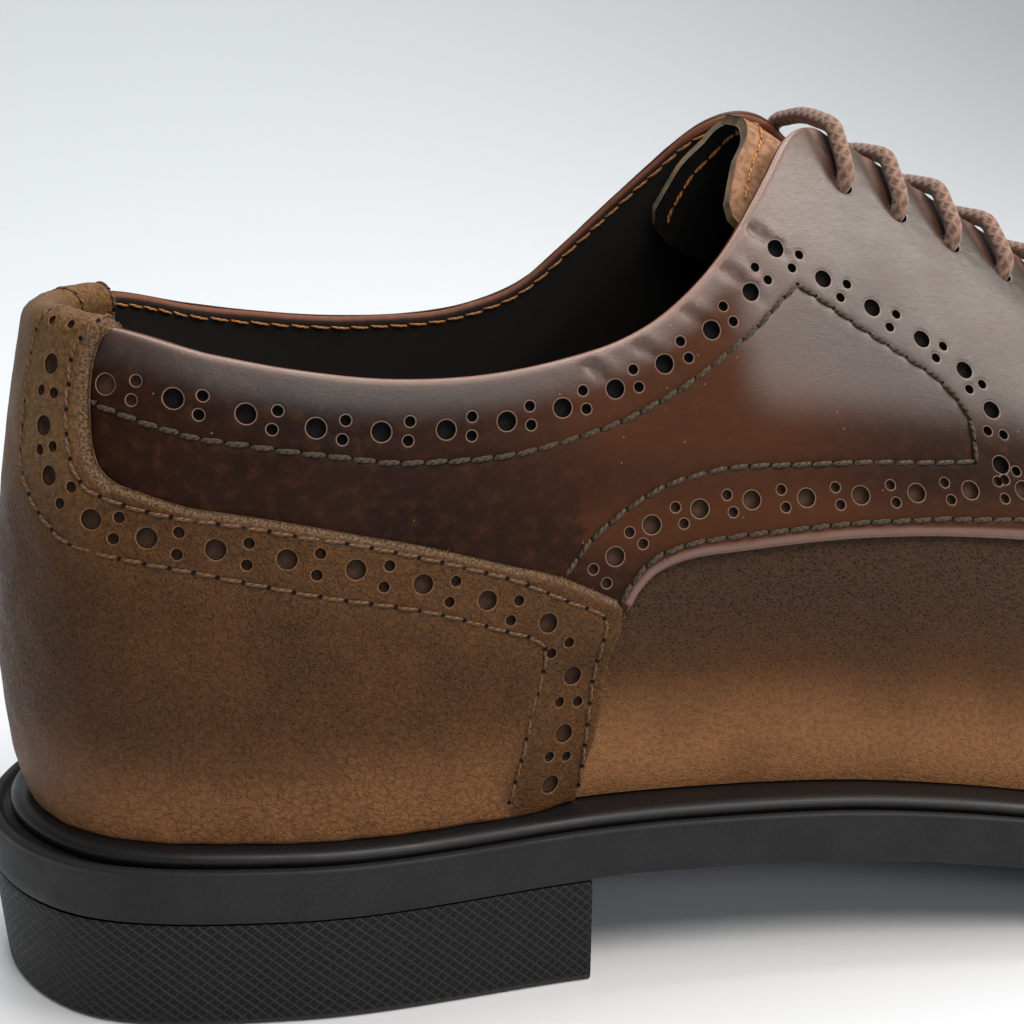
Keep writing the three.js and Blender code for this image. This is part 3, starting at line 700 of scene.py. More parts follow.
def calf_leather(name):
    """Polished dark calf. Paint: painted edge highlight, hole with painted shade and rim highlight, polish,
    orange-brown tone with painted light.
    """
    n = Nodes(name)
    rim, hole, gloss, tone_and_painted_light = n.paint()
    flat = n.flat()
    broad = n.noise(flat, .045, 4, .55)
    fine = n.noise(flat, .5, 5, .6)
    color = n.mix(n.between(broad, .3, .7), rgb(24, 11, 6), rgb(37, 19, 10))
    color = n.tint(color, n.between(fine, .45, .7), (78, 46, 28), .24)
    # Lighter orange-brown: the leather's own tone, plus a painted reflection beside each lace
    color = n.mix(n.times(tone_and_painted_light, .7, True), color, rgb(70, 39, 20))
    # Painted highlight along the rolled edges, lighter where the first paint channel is set
    color = n.tint(color, rim, (138, 94, 76), .8)
    # Painted highlight on each hole's rim, and painted shade down in the hole
    color = n.tint(color, n.between(hole, .25, .5), (150, 124, 108), .55)
    color = n.mix(n.between(hole, .6, .8), color, rgb(12, 9, 8))
    speck = n.add("TexVoronoi", {"Vector": flat, "Scale": .3, "Randomness": 1.0}).outputs["Distance"]
    color = n.tint(color, n.between(speck, .05, .03), (132, 98, 74), .55)
    creases = n.add("TexNoise", {"Vector": n.flat((.7, 1.5, 1), -.7), "Scale": .9, "Detail": 3.0,
                                 "Distortion": .6}).outputs[0]
    ridges = n.math("ABSOLUTE", n.math("SUBTRACT", creases, .5))
    height = n.math("ADD", n.times(n.between(ridges, 0, .06), .35), n.times(fine, .5))
    normal = n.bump(height, .00006, .4)
    normal = n.bump(n.noise(flat, 7.0, 2), .00003, .5, normal)
    rough = n.math("ADD", n.between(broad, .3, .7, .38, .48), n.times(fine, .08))
    return n.finish(color, rough, normal, specular=n.between(gloss, 0, 1, .08, .8))


def grain_leather(name, shade, low_color, wrinkle):
    """Grained leather. Paint: patina or shade, hole, tan at the bottom, raw edge."""
    n = Nodes(name)
    pale, hole, low, raw_side = n.paint()
    flat = n.flat()
    broad = n.noise(flat, .06, 4, .6)
    warp = n.add("TexNoise", {"Vector": flat, "Scale": 1.6, "Detail": 2.0}).outputs[1]
    push = n.add("VectorMath", {0: warp, 1: (.9, .9, 0)}, operation="MULTIPLY").outputs[0]
    bent = n.add("VectorMath", {0: flat, 1: push}, operation="ADD").outputs[0]

    def cells(scale, width):
        gap = n.add("TexVoronoi", {"Vector": bent, "Scale": scale}, feature="DISTANCE_TO_EDGE")
        return n.between(gap.outputs["Distance"], 0, width, 1, 0)

    fine, coarse = cells(2.1, .3), cells(.9, .12)
    mottle = n.noise(flat, 1.2, 4, .6)
    color = n.mix(n.between(broad, .35, .65), rgb(51, 28, 8), rgb(65, 38, 13))
    color = n.mix(n.times(low, n.between(broad, .3, .6, .7, 1)), color, rgb(*low_color))
    color = n.mix(n.times(pale, n.between(mottle, .35, .6, .6, .95)), color, rgb(*shade))
    color = n.tint(color, n.between(mottle, .58, .4), (34, 20, 11), .3)
    color = n.tint(color, fine, (146, 104, 64), .11)
    color = n.tint(color, coarse, (22, 14, 9), wrinkle)
    # Painted highlight on each hole's rim, and painted shade down in the hole
    color = n.tint(color, n.between(hole, .25, .5), (140, 104, 74), .45)
    color = n.mix(n.between(hole, .6, .8), color, rgb(18, 13, 10))
    tufts = n.noise(flat, 3.0, 4, .7)
    color = n.mix(raw_side, color, n.mix(n.between(tufts, .4, .6), rgb(54, 40, 28), rgb(104, 80, 56)))
    height = n.math("SUBTRACT", fine, n.times(coarse, 4 * wrinkle))
    normal = n.bump(height, .00007, .8)
    normal = n.bump(mottle, .00012, .6, normal)
    rough = n.between(mottle, .3, .7, .42, .56)
    return n.finish(color, rough, normal, specular=.13)


def plain(name, color, rough, grainy=.2, bump=.00005, scale=1.5, spot=None, **extra):
    """A simple finish with broad and fine variation."""
    n = Nodes(name)
    place = n.solid()
    broad = n.noise(place, .12, 3)
    fine = n.noise(place, scale, 4, .6)
    spot = spot or tuple(min(1, c * 1.8 + .01) for c in color[:3]) + (1,)
    tone = n.mix(n.times(n.between(fine, .35, .65), grainy), color, spot)
    tone = n.mix(n.times(n.between(broad, .35, .65), .3), tone, shaded(color, .6))
    normal = n.bump(fine, bump, .6)
    return n.finish(tone, n.between(broad, .3, .7, rough - .05, rough + .08), normal, **extra)


def two_tone(name, base, other, rough, bump=.00005, scale=1.0, **extra):
    """A plain finish whose colour goes to another one where the paint's first channel is set."""
    n = Nodes(name)
    share = n.paint()[0]
    fine = n.noise(n.solid(), scale, 4, .6)
    color = n.mix(share, base, other)
    color = n.mix(n.times(n.between(fine, .35, .65), .35), color,
                  n.mix(share, shaded(base, .55), shaded(other, .55)))
    rough = n.between(fine, .3, .7, rough - .06, rough + .06)
    return n.finish(color, rough, n.bump(fine, bump, .6), **extra)


KNURL_WIDE, KNURL_HIGH = 1.6, 1.45


def knurled_rubber(name):
    """Rubber with crossing ribs and painted shade in the pits between them. Paint: 1 where it is plain."""
    n = Nodes(name)
    mark = n.paint()[0]
    x, y = n.add("SeparateXYZ", {0: n.flat()}).outputs[:2]

    def wave(sign):
        run = n.math("ADD", n.times(x, 2 * math.pi / KNURL_WIDE),
                     n.times(y, sign * 2 * math.pi / KNURL_HIGH))
        return n.math("ABSOLUTE", n.math("SINE", n.times(run, .5)))

    pits = n.between(n.math("MINIMUM", wave(1), wave(-1)), .2, .55)
    high = n.add("SeparateXYZ", {0: n.solid()}).outputs[2]
    clear = n.times(n.between(high, .7, 1.1), n.math("SUBTRACT", 1.0, mark))
    pits = n.times(pits, clear)
    fine = n.noise(n.solid(), 2.0, 4)
    # Painted shade: near-black in the pits
    color = n.mix(pits, rgb(38, 38, 39), rgb(9, 9, 10))
    color = n.tint(color, n.between(fine, .5, .75), (58, 57, 56), .25)
    normal = n.bump(n.math("SUBTRACT", 1.0, pits), .0004, .9)
    normal = n.bump(fine, .00005, .5, normal)
    return n.finish(color, n.between(fine, .3, .7, .5, .65), normal, specular=.2)


def thread(name, light, darker):
    """Twisted thread: strands wind round it as flat x runs along it, with painted shade between them."""
    n = Nodes(name)
    run, turn = n.add("SeparateXYZ", {0: n.flat()}).outputs[:2]
    wind = n.math("ADD", n.times(run, 2 * math.pi), n.times(turn, 2.0))
    strand = n.math("ABSOLUTE", n.math("SINE", n.times(wind, .5)))
    fine = n.noise(n.solid(), 1.2, 3)
    # The darker colour is painted shade in the grooves between strands
    color = n.mix(n.between(strand, .1, .8), darker, light)
    color = n.mix(n.times(n.between(fine, .4, .6), .5), color, shaded(light, .6))
    normal = n.bump(strand, .00012, .9)
    return n.finish(color, .55, normal, specular=.2, sheen=.08)


BRAID_PITCH, STRANDS = 1.9, 4.0


def woven_cord(name):
    """A round braid: two sets of strands wind against each other, with painted shade in the gaps."""
    n = Nodes(name)
    run, turn = n.add("SeparateXYZ", {0: n.flat()}).outputs[:2]

    def wind(sign):
        return n.math("SINE", n.math("ADD", n.times(run, 2 * math.pi / BRAID_PITCH),
                                     n.times(turn, STRANDS * sign)))

    a, b = wind(1), wind(-1)
    cells = n.math("MAXIMUM", a, b)
    over = n.between(n.math("SUBTRACT", a, b), -.5, .5)
    fine = n.noise(n.flat((3, 4, 1)), 1.4, 4, .65)
    color = n.mix(over, rgb(132, 102, 88), rgb(116, 88, 74))
    color = n.tint(color, n.between(fine, .52, .66), (172, 144, 122), .6)
    # Painted shade in the gaps between the strands
    color = n.tint(color, n.between(cells, .35, -.2), (30, 19, 15), .45)
    normal = n.bump(n.between(cells, -.3, 1), .00016, .8)
    normal = n.bump(fine, .0001, .6, normal)
    return n.finish(color, .72, normal, sheen=.2, specular=.15)


calf = calf_leather("calf")
calf_edge = plain("calf_edge", rgb(52, 30, 20), .55, .3, specular=.2)
grain = grain_leather("grain", (106, 78, 46), (118, 80, 50), .26)
grain_vamp = grain_leather("grain_vamp", (22, 14, 9), (130, 90, 58), .05)
raw_edge = plain("raw_edge", rgb(74, 54, 36), .8, .7, .00015, 1.2, rgb(120, 94, 64), specular=.15)
# Hole walls, floors and stitch plugs: near-black painted shade, brown where the first paint channel shows the
# layer below
dark = two_tone("hole_shade", rgb(9, 7, 7), rgb(74, 52, 38), .8, specular=.15)
lining = two_tone("lining_skin", rgb(19, 17, 16), rgb(98, 55, 34), .6, .00004, .8, specular=.2)
tongue_edge = plain("tongue_edge", rgb(72, 70, 62), .7, .6, .0001, .45, rgb(150, 112, 58))
tongue_skin = plain("tongue_skin", rgb(152, 116, 90), .8, .6, .00015, .9, rgb(84, 54, 34), specular=.15)
thread_dark = thread("thread_dark", rgb(76, 64, 46), rgb(10, 9, 8))
thread_tan = thread("thread_tan", rgb(108, 78, 50), rgb(44, 28, 18))
thread_amber = thread("thread_amber", rgb(186, 122, 60), rgb(92, 52, 26))
cord = woven_cord("woven_cord")
rubber = plain("moulded_rubber", rgb(29, 29, 30), .5, .25, .00003, 3.0, specular=.18)
bead_rubber = plain("bead_rubber", rgb(17, 17, 18), .38, .2, .00002, 3.0, specular=.3)
heel_rubber = knurled_rubber("knurled_rubber")
fibre = plain("fibre", rgb(128, 100, 66), .8, .3)
sock = plain("sock_skin", rgb(58, 44, 36), .8, .4, .00005, 1.0)

# Where the photograph's lines lie on the outer side, as (s, b)
COLLAR_STITCH = [(4, 57.4), (12, 56.8), (20.8, 55.7), (26.9, 54.1), (35.9, 52), (43.8, 50.9), (51.4, 49.8),
                 (59.2, 48.5), (67.5, 48.1), (74.8, 48.2), (79.3, 48.7), (86.7, 50.3), (92.2, 52.1),
                 (97.4, 54.6), (102.8, 57.8), (107.9, 61.4), (111, 63.7), (114.4, 66.9), (117.5, 69.5)]
FACING_STITCH = [(117.5, 69.5), (121.5, 67.2), (126.1, 64.3), (132.2, 60.9), (137.3, 58), (139.9, 55.5),
                 (141.5, 52.9), (141.8, 49.7), (141.6, 46.5)]
MIDDLE_STITCH = [(141.6, 46.5), (135.6, 45.9), (125.8, 45.3), (116.1, 44.9), (108, 44.8), (101.9, 44.2),
                 (96.2, 42.7), (91.6, 40.6), (88.3, 38.5), (85, 36), (82.7, 33.4), (81.2, 31.8)]
LOWER_STITCH = [(88.9, 27.6), (90.7, 30.1), (93.6, 32.9), (97.7, 34.5), (106.1, 35.5), (115.6, 36.3),
                (125.2, 37.1), (134.9, 38), (148, 39.2), (160, 41), (170, 45.5), (177, 53), (181, 62),
                (183.5, 71)]
COLLAR_HOLES = [(14, 59), (23.1, 58), (32.9, 56.7), (42.3, 55), (50.4, 53.2), (58.2, 52.4), (66.4, 52.1),
                (74.4, 52.5), (82.1, 53.6), (89.6, 55.6), (96.7, 58.6), (103.8, 63), (110.2, 68.2),
                (114.8, 74.4)]
FACING_HOLES = [(121.7, 70.6), (128.8, 67.1), (136, 63.4), (142.1, 59.7), (145.4, 54.4), (145.6, 46.6)]
LOWER_HOLES = [(148.6, 43.4), (140.4, 42.5), (132.3, 41.5), (124, 40.8), (116, 40.4), (108, 40.3),
               (100.5, 39.4), (93.7, 37.6), (88.5, 33.8)]
COUNTER_FRONT = [(83, 0), (84.2, 5.3), (85.2, 8.9), (86.5, 14.6), (87.3, 20.7), (88.5, 24), (88.9, 26.9)]
COUNTER_EDGE = [(88.4, 28.1), (80.7, 31.9), (73.6, 34.2), (62.4, 37.9), (54.5, 39.9), (47.2, 41.6),
                (39.7, 42.9), (34.1, 43.7), (28.4, 45.2), (25.2, 46.2), (23.1, 47.8), (22, 50.4),
                (21.4, 54.3), (21.1, 57.4), (21.4, 60.9), (22.7, 64), (23.6, 65.2)]
COUNTER_OUTER = [(83.4, 2.5), (84.2, 10.4), (84.8, 16.1), (85.5, 20.2), (86.2, 23.4), (86.5, 25.8),
                 (80.4, 29.2), (73.6, 32.5), (63.9, 35.9), (54.4, 38.7), (48.2, 40), (39.6, 41.6),
                 (33.6, 42.3), (27.6, 43.4), (24.8, 44.2), (22, 45.3), (20.3, 47.5), (19.4, 50.2),
                 (18.8, 53.6), (18.8, 57.5), (18.9, 60.7), (19.9, 62.9), (21.2, 64.4), (22, 66),
                 (22.4, 70), (22.5, 74.5)]
COUNTER_INNER = [(73.2, 2.5), (73.7, 4.5), (74.8, 9), (76.1, 15.1), (77.1, 18), (77.8, 23.2), (71.5, 26.4),
                 (61.8, 29.9), (50.4, 32.5), (43, 34.2), (35.3, 35.8), (29.4, 36.7), (23.7, 37.6),
                 (19.2, 38.6), (17.1, 39.9), (13.9, 42.2), (11.8, 44.3), (9.9, 47.2), (9.5, 51.2),
                 (9.5, 55.3), (9.6, 59.5), (10.3, 64), (11.5, 66.5), (12.6, 70), (13, 75)]
COUNTER_HOLES = [(15, 59.7), (14.8, 52.1), (16.4, 46.2), (22.7, 41.7), (29.4, 39.9), (37.9, 38.7),
                 (46.2, 37.4), (54, 35.8), (62.1, 33.3), (70.3, 30.3), (78.4, 26.4), (82.1, 18.6),
                 (80.9, 10.8), (79.1, 3.8)]
QUARTER_LOW = [(72, 0), (73.2, 12), (75.6, 19.8), (82, 24.8), (90, 26.2), (91.9, 28.7), (94.1, 30.8),
               (97, 32.1), (100.4, 32.9), (106.3, 33.4), (115.5, 34.2), (125.1, 35), (134.7, 35.7),
               (147.7, 36.4), (155, 36.9), (163, 38.6), (171.8, 44), (179.5, 54.1), (184, 64.7),
               (186.6, 70), (187, 76)]
BIG_HOLE, SMALL_HOLE, EYELET, PIN_HOLE = 1.22, .66, 1.45, .5
LACE_FIRST, LACE_PITCH, LACE_BARS, LACE_INSET, LACE_RADIUS = 128.1, 8.66, 5, 9.5, 1.2
# The tongue along the last: its half width, by the ball's width, and how far it lies under the laces
TONGUE = dict(
    x=[.33, .36, .39, .42, .46, .50, .54, .57, .60, .63, .66],
    half=[.373, .373, .36, .34, .30, .265, .235, .21, .185, .16, .14],
    drop=[1, 1, 1, 1, 1, 1, 1, .9, .45, .05, 0])
# The tongue's top edge: how far along the last, by the share of its half width
TONGUE_END = dict(side=[0, .22, .42, .6, .74, .86, .93, .98, 1.0],
                  x=[.3697, .3683, .3585, .3475, .3415, .3368, .3375, .344, .352])


def sided(points, sign):
    """Lines of the outer side carried to one side, following its own topline."""
    p = np.array(points, float)
    if sign < 0:
        s = np.abs(p[:, 0])
        tiny, low, high = 1e-6, 36, 58
        shift = topline(-s - tiny) - topline(s + tiny)
        p[:, 1] += shift * ease((p[:, 1] - low) / (high - low))
        p[:, 0] *= -1
    return p


def pairs(holes, share=.42, apart=2.4, slant=.3, past=()):
    """The two small holes after each big one, across the row. past carries the row on for the last one."""
    h = np.array(list(holes) + list(past), float)
    out = []
    for p, q in zip(h, h[1:]):
        d = (q - p) / np.linalg.norm(q - p)
        side = np.array([-d[1], d[0]])
        for way in (-.5, .5):
            c = p + (q - p) * share + (side * apart + d * slant) * way
            out.append((c[0], c[1], SMALL_HOLE))
    return out


def punched(holes, **spread):
    """A row of big holes with a pair of small ones after each."""
    return [(s, b, BIG_HOLE) for s, b in holes] + pairs(holes, **spread)


def hole_shade_and_highlight(gap):
    """1 down in a hole, for its painted shade; a half on its rim, for a painted highlight; 0 away from it."""
    return np.interp(gap, [0, .12, .3], [.85, .5, 0])


# Faint creases that leave each eyelet: direction in degrees and length
EYELET_RAYS = ((-150, 7), (-110, 5), (-70, 5), (-25, 6), (20, 5))
eyelets = [LACE_FIRST + k * LACE_PITCH for k in range(LACE_BARS)]


def lace_hole(s):
    """Height of the eyelet at an arc."""
    return topline(np.array([s]))[0] - LACE_INSET


def bumps(s, b, line, depth, width, fade=1.5):
    """A soft trough along a short line, fading out at its ends."""
    line = np.asarray(line, float)
    d, at = distance(np.stack([s, b], 1), line)
    total = np.sum(np.linalg.norm(np.diff(line, axis=0), axis=1))
    return -depth * np.exp(-(d / width) ** 2) * ease((at + .3) / fade) * ease((total - at + .3) / fade)


def quarter(sign):
    """Smooth leather of one side, from the back seam to the facing, with its eyelets."""
    name = "quarter_lateral" if sign > 0 else "quarter_medial"
    # Arcs of the collar line, closer together at the collar's front corner
    top_s = np.array([187, 185, 182, 176, 168, 158, 148, 140, 134, 130, 127.5, 125.5, 124, 122.5, 121,
                      119, 116, 112, 108, 104, 100, 96, 90, 82, 72, 60, 48, 36, 24, 12, .5])
    low = curve(sided(QUARTER_LOW, sign), .7)
    top = curve(np.stack([sign * top_s, topline(sign * top_s)], 1), .7)
    foot = spaced(np.array([[sign * .5, 0], [sign * 72, 0]], float), .9)
    seam = spaced(np.array([top[-1], foot[0]]), .9)
    front = spaced(np.array([low[-1], top[0]]), .7)
    edge = np.vstack([part[:-1] for part in (foot, low, front, top, seam)])
    facing = sided(FACING_HOLES, sign)
    collar, lower = sided(COLLAR_HOLES, sign), sided(LOWER_HOLES, sign)
    holes = punched(collar, past=facing[:1]) + punched(facing, past=lower[:1]) + punched(lower, slant=-.5)
    last_pair = sided([(87.2, 30.4), (85.4, 32.4)], sign)
    holes += [(s, b, SMALL_HOLE) for s, b in last_pair]
    holes += [(sign * s, lace_hole(sign * s), EYELET) for s in eyelets]
    lines = [curve(sided(p, sign), .4) for p in (COLLAR_STITCH, FACING_STITCH, MIDDLE_STITCH, LOWER_STITCH)]
    sheet = cut_sheet(edge, holes, lines)

    def pull(e):
        """Line of the fold that a lace pulls from its eyelet to the edge."""
        hole = lace_hole(sign * e)
        edge_b = topline(np.array([sign * (e - 2.6)]))[0]
        return [(sign * (e - .9), hole + .6), (sign * (e - 2.4), hole + 4.5),
                (sign * (e - 3.0), edge_b + .3)]

    def height(sh):
        s, b = sh["at"].T
        h = 0 * s
        # Folds from the collar's edge to each big hole where the foot bends the leather
        for p in sided(COLLAR_HOLES[9:], sign):
            up = np.array([p[0] - sign * 4.2, topline(np.array([p[0] - sign * 4.2]))[0] - .8])
            h += bumps(s, b, [up, p + (up - p) * .25], .6, .62)
            h += bumps(s, b, [up + [sign * 1.7, 0.6], p + [sign * 1.5, 1.0]], -.3, .7)
            h += bumps(s, b, [up - [sign * 1.5, .1], p - [sign * 2.2, -1.6]], .16, .4)
            h += bumps(s, b, [p, p + (p - up) * .6], .12, .5)
        # A short pull behind every collar hole
        for p in collar:
            tail = p + [sign * 2.6, -.9]
            h += bumps(s, b, [p + (tail - p) * .45, tail], .09, .35, .8)
        # Under each lace: its bed, the fold it pulls to the edge, a ridge, and rays round the eyelet
        for e in eyelets:
            hole = lace_hole(sign * e)
            h += bumps(s, b, [(sign * e, hole + .5), (sign * e, hole + 9.6)], .34, 1.3, 1.2)
            h += bumps(s, b, pull(e), .42, 1.0, 1.8)
            h += bumps(s, b, [(sign * (e + 2.2), hole + 1.5), (sign * (e + 2.6), hole + 7)], -.10, 1.1, 2)
            for way, long in EYELET_RAYS:
                a = math.radians(way)
                far = (sign * (e + long * math.cos(a)), hole + long * math.sin(a))
                near = (sign * (e + 1.7 * math.cos(a)), hole + 1.7 * math.sin(a))
                h += bumps(s, b, [near, far], .10, .55, 2)
        return h + .10 * np.sin(s * .21 + b * .13) * np.sin(b * .17 - s * .05)

    def paint(sh):
        s, b = sh["at"].T
        top_gap = topline(s) - b
        # Painted highlight along the collar's rolled edge, partly its orange-brown edge colour
        rim = np.exp(-sh["edge"] / .5) * (top_gap < 3)
        painted_lace_reflection = np.zeros(len(s))
        # Painted reflection of the lace, along the fold each lace pulls to the edge
        for e in eyelets:
            painted_lace_reflection -= bumps(s, b, pull(e), 1.0, 1.3, 2.0)
        # Lighter orange-brown at the collar front, the middle, above the lower edge, and beside each lace as
        # a painted reflection
        a = np.abs(s)
        tone_and_painted_light = np.exp(-((a - 98) / 17) ** 2) * np.exp(-((top_gap - 7) / 7) ** 2)
        tone_and_painted_light += .75 * np.exp(-((a - 104) / 22) ** 2) * np.exp(-((b - 52) / 7) ** 2)
        tone_and_painted_light += .8 * np.exp(-((b - 37.5) / 4.0) ** 2) * (a > 84)
        tone_and_painted_light += .5 * ease((a - 70) / 40) * (1 - ease((a - 112) / 20)) + painted_lace_reflection
        gloss = ease((7.5 - top_gap) / 7) * (a < 112) + ease((a - 104) / 10) * ease((b - 47) / 12)
        # Painted highlight on the rolled lower edges: a lighter rim colour, with more polish and less
        # orange-brown
        fold = np.exp(-(np.maximum(sh["edge"] - .9, 0) / .35) ** 2) * (a > 90) * (b < topline(s) - 16)
        rim = np.maximum(rim, .5 * fold)
        gloss = np.maximum(gloss, .8 * fold)
        tone_and_painted_light = tone_and_painted_light * (1 - .8 * fold)
        return np.stack([rim, hole_shade_and_highlight(sh["hole"]), np.clip(gloss, 0, 1), np.clip(tone_and_painted_light, 0, 1)], 1)

    dress_sheet(name + "_leather", sheet, wall, height,
                lambda s, b: np.where(topline(s) - b < 6, .85, .8), 1.3, paint,
                [calf, dark, calf_edge], (name,), mirror=sign < 0,
                tone=lambda s, b: float(abs(s) < 30 or b < 45))
    thread = []
    for line in lines:
        thread += stitches(line, wall, radius=.33, lift=.1)
    bundle(name + "_stitches", thread, thread_dark)
    bundle(name + "_pinholes", [p for line in lines for p in stitch_hole_shade(line, wall)], dark)


# The counter lies on the quarter, and at its front foot on the vamp; at the back it wraps over the collar
LAYER = 1.5
WRAP_START, WRAP_TURN, WRAP_PAST, WRAP_END = 1.6, 2.4, 5.0, 23.9
WRAP_MIDDLE, WRAP_REACH, WRAP_RISE = -1.25, 2.75, 2.7
WRAP_LENGTH = WRAP_TURN * np.pi + WRAP_PAST - WRAP_START


def counter():
    """Grained leather round the back, with its punched band, raw edge and wrap over the collar."""
    def base(s, b):
        forward = ease((np.abs(s) / LAST_LENGTH - .264) / .03)
        down = ease((.37 - b / BACK_HEIGHT) / .106)
        return LAYER - LAYER * forward * down

    def place(s, b, h):
        start = topline(s) - WRAP_START
        over = np.maximum(b - start, 0)
        turn = np.clip(over / WRAP_TURN, 0, np.pi)
        past = np.maximum(over - WRAP_TURN * np.pi, 0)
        offset = np.where(over > 0, WRAP_MIDDLE + (WRAP_REACH + h) * np.cos(turn), base(s, b) + h)
        height = np.where(over > 0, start + (WRAP_RISE + h) * np.sin(turn) - past, b)
        return wall(s, height, offset)

    def side(sign):
        front = curve(sided(COUNTER_FRONT, sign), .6)
        swept = curve(sided(COUNTER_EDGE, sign), .6)
        end = np.array([sign * WRAP_END, topline(np.array([sign * WRAP_END]))[0] + WRAP_LENGTH])
        return np.vstack([front[:-1], spaced(np.array([front[-1], swept[0]]), .6)[:-1], swept[:-1],
                          spaced(np.array([swept[-1], end]), .6)[:-1]])

    over_s = np.arange(WRAP_END, -23.95, -.7)
    over = np.stack([over_s, topline(over_s) + WRAP_LENGTH], 1)
    foot = spaced(np.array([[-83, 0], [83, 0]], float), .8)
    edge = np.vstack([foot[:-1], side(1), over[:-1], side(-1)[::-1][:-1]])
    holes, lines = [], []
    for sign in (1, -1):
        holes += punched(sided(COUNTER_HOLES, sign), share=.45, apart=2.7, slant=0)
        holes += [(sign * s, topline(np.array([sign * s]))[0] - .8, PIN_HOLE) for s in (14, 18)]
        lines += [curve(sided(p, sign), .4) for p in (COUNTER_OUTER, COUNTER_INNER)]
    sheet = cut_sheet(edge, holes, lines)

    def height(sh):
        s, b = sh["at"].T
        return (.09 * np.sin(s * .31 + b * .2) * np.sin(b * .27 - s * .11)
                + .05 * np.sin(s * .9 + 2 * np.sin(b * .5)))

    def paint(sh):
        s, b = sh["at"].T
        a = np.abs(s)
        band = distance(np.stack([a, b], 1), curve(np.array(COUNTER_HOLES, float), 1.0))[0]
        in_band = ease((8.0 - band) / 3.5)
        high = ease((b - 36) / 18) * ease((27 - a) / 7)
        pale = np.clip(.12 * in_band + high, 0, 1)
        low = ease((17 - b) / 15) * (1 - in_band)
        raw = np.clip((bevel(s, b) - sh["edge"]) / .25, 0, 1)
        return np.stack([pale, hole_shade_and_highlight(sh["hole"]), low, raw], 1)

    def bevel(s, b):
        """How wide the raw edge shows: narrow at the front, wide along the sweep."""
        a = np.abs(s)
        return np.where(b < 27.5, .35, np.where(a < 25, 1.3, 1.0))

    dress_sheet("heel_counter_leather", sheet, place, height, .15, 1.35, paint, [grain, dark, raw_edge],
                ("heel_counter",), slope=bevel, tone=lambda s, b: .7)
    thread = []
    for line in lines:
        thread += stitches(line, place, radius=.23, lift=.05, skew=.1)
    bundle("heel_counter_stitches", thread, thread_tan)
    bundle("heel_counter_pinholes", [p for line in lines for p in stitch_hole_shade(line, place)], dark)
    # Loose fibres here and there along the raw edge
    ends = curve(np.vstack([sided(COUNTER_FRONT, 1), sided(COUNTER_EDGE, 1)]), .55)
    hairs, bare = [], .72
    for sign in (1, -1):
        for p in sided(ends, sign):
            for _ in range(2):
                if rng.random() < bare:
                    continue
                go = rng.normal(0, .28, 2)
                q = p - [0, .5] + rng.normal(0, .3, 2)
                t = np.linspace(0, 1, 4)
                path_b = q + t[:, None] * go * rng.uniform(.5, 1.4)
                lift = rng.uniform(-.7, -.1) + t * rng.uniform(.0, .35)
                hairs.append(tube(place(path_b[:, 0], path_b[:, 1], lift), .028, 3))
    bundle("heel_counter_fibres", hairs, fibre)


# Columns at the same x on both sides, from the back to the toe
outer_s = np.linspace(0, TOE_ARC, 300)
inner_s = arc_at(outline(outer_s[1:-1])[:, 0], -1)
loop_s = np.concatenate([outer_s, inner_s[::-1]])
loop_x = outline(loop_s)[:, 0]
# The throat narrows from one x to the other; the lining ends a little below the collar's edge
THROAT_START, THROAT_FRONT = (outline(np.array([share * TOE_ARC]))[0, 0] for share in (.53, .604))
LINING_DROP = .35


def lining_edge(s, x):
    """Height at which vamp and lining end: along the collar, then round the throat."""
    top = wall_height(s)
    edge = topline(s) - LINING_DROP
    t = np.clip((x - THROAT_START) / (THROAT_FRONT - THROAT_START), 0, 1)
    start = np.array([arc_at(THROAT_START, sign) for sign in (1, -1)])
    gap = wall_height(start) - topline(start) + LINING_DROP
    curved = top - np.where(s > 0, gap[0], gap[1]) * np.sqrt(1 - t * t)
    return np.where(x <= THROAT_START, edge, np.minimum(top, curved))


def weld(points, faces, near=.002):
    """Joins points that lie together, and drops the faces that fall flat."""
    key = np.round(points / near).astype(np.int64)
    _, first, back = np.unique(key, axis=0, return_index=True, return_inverse=True)
    back = back.ravel()
    f = back[faces]
    good = (np.sort(f, 1)[:, 1:] != np.sort(f, 1)[:, :-1]).all(1)
    tri = []
    for row in f[~good]:
        row = [v for k, v in enumerate(row) if v != row[k - 1]]
        if len(row) == len(set(row)) == 3:
            tri.append(row)
    return first, f[good], np.array(tri, int).reshape(-1, 3)


def shell(name, points, flats, colors, faces, materials, replaces=()):
    """A grid made into one welded mesh."""
    first, quad, tri = weld(points, faces)
    return make(name, points[first], [tri, quad], materials, replaces,
                dict(flat=flats[first], paint=colors[first]))


# The vamp's depth under the quarters' outer face, and how far it goes below the feather line
VAMP_DEPTH, VAMP_FOOT = -1.42, .4
# The lining's rolled edge: how far from the collar's edge, and how deep
LINING_ROLL = [(.1, -1.2), (.3, -1.35), (.34, -1.6), (.26, -1.85), (.05, -2.15), (-.3, -2.35), (-.8, -2.45),
               (-1.6, -2.5), (-3, -2.6), (-5, -2.8), (-8, -3.1), (-12, -3.45)]
LINING_DEPTH, LINING_ROWS = -3.6, 39.5


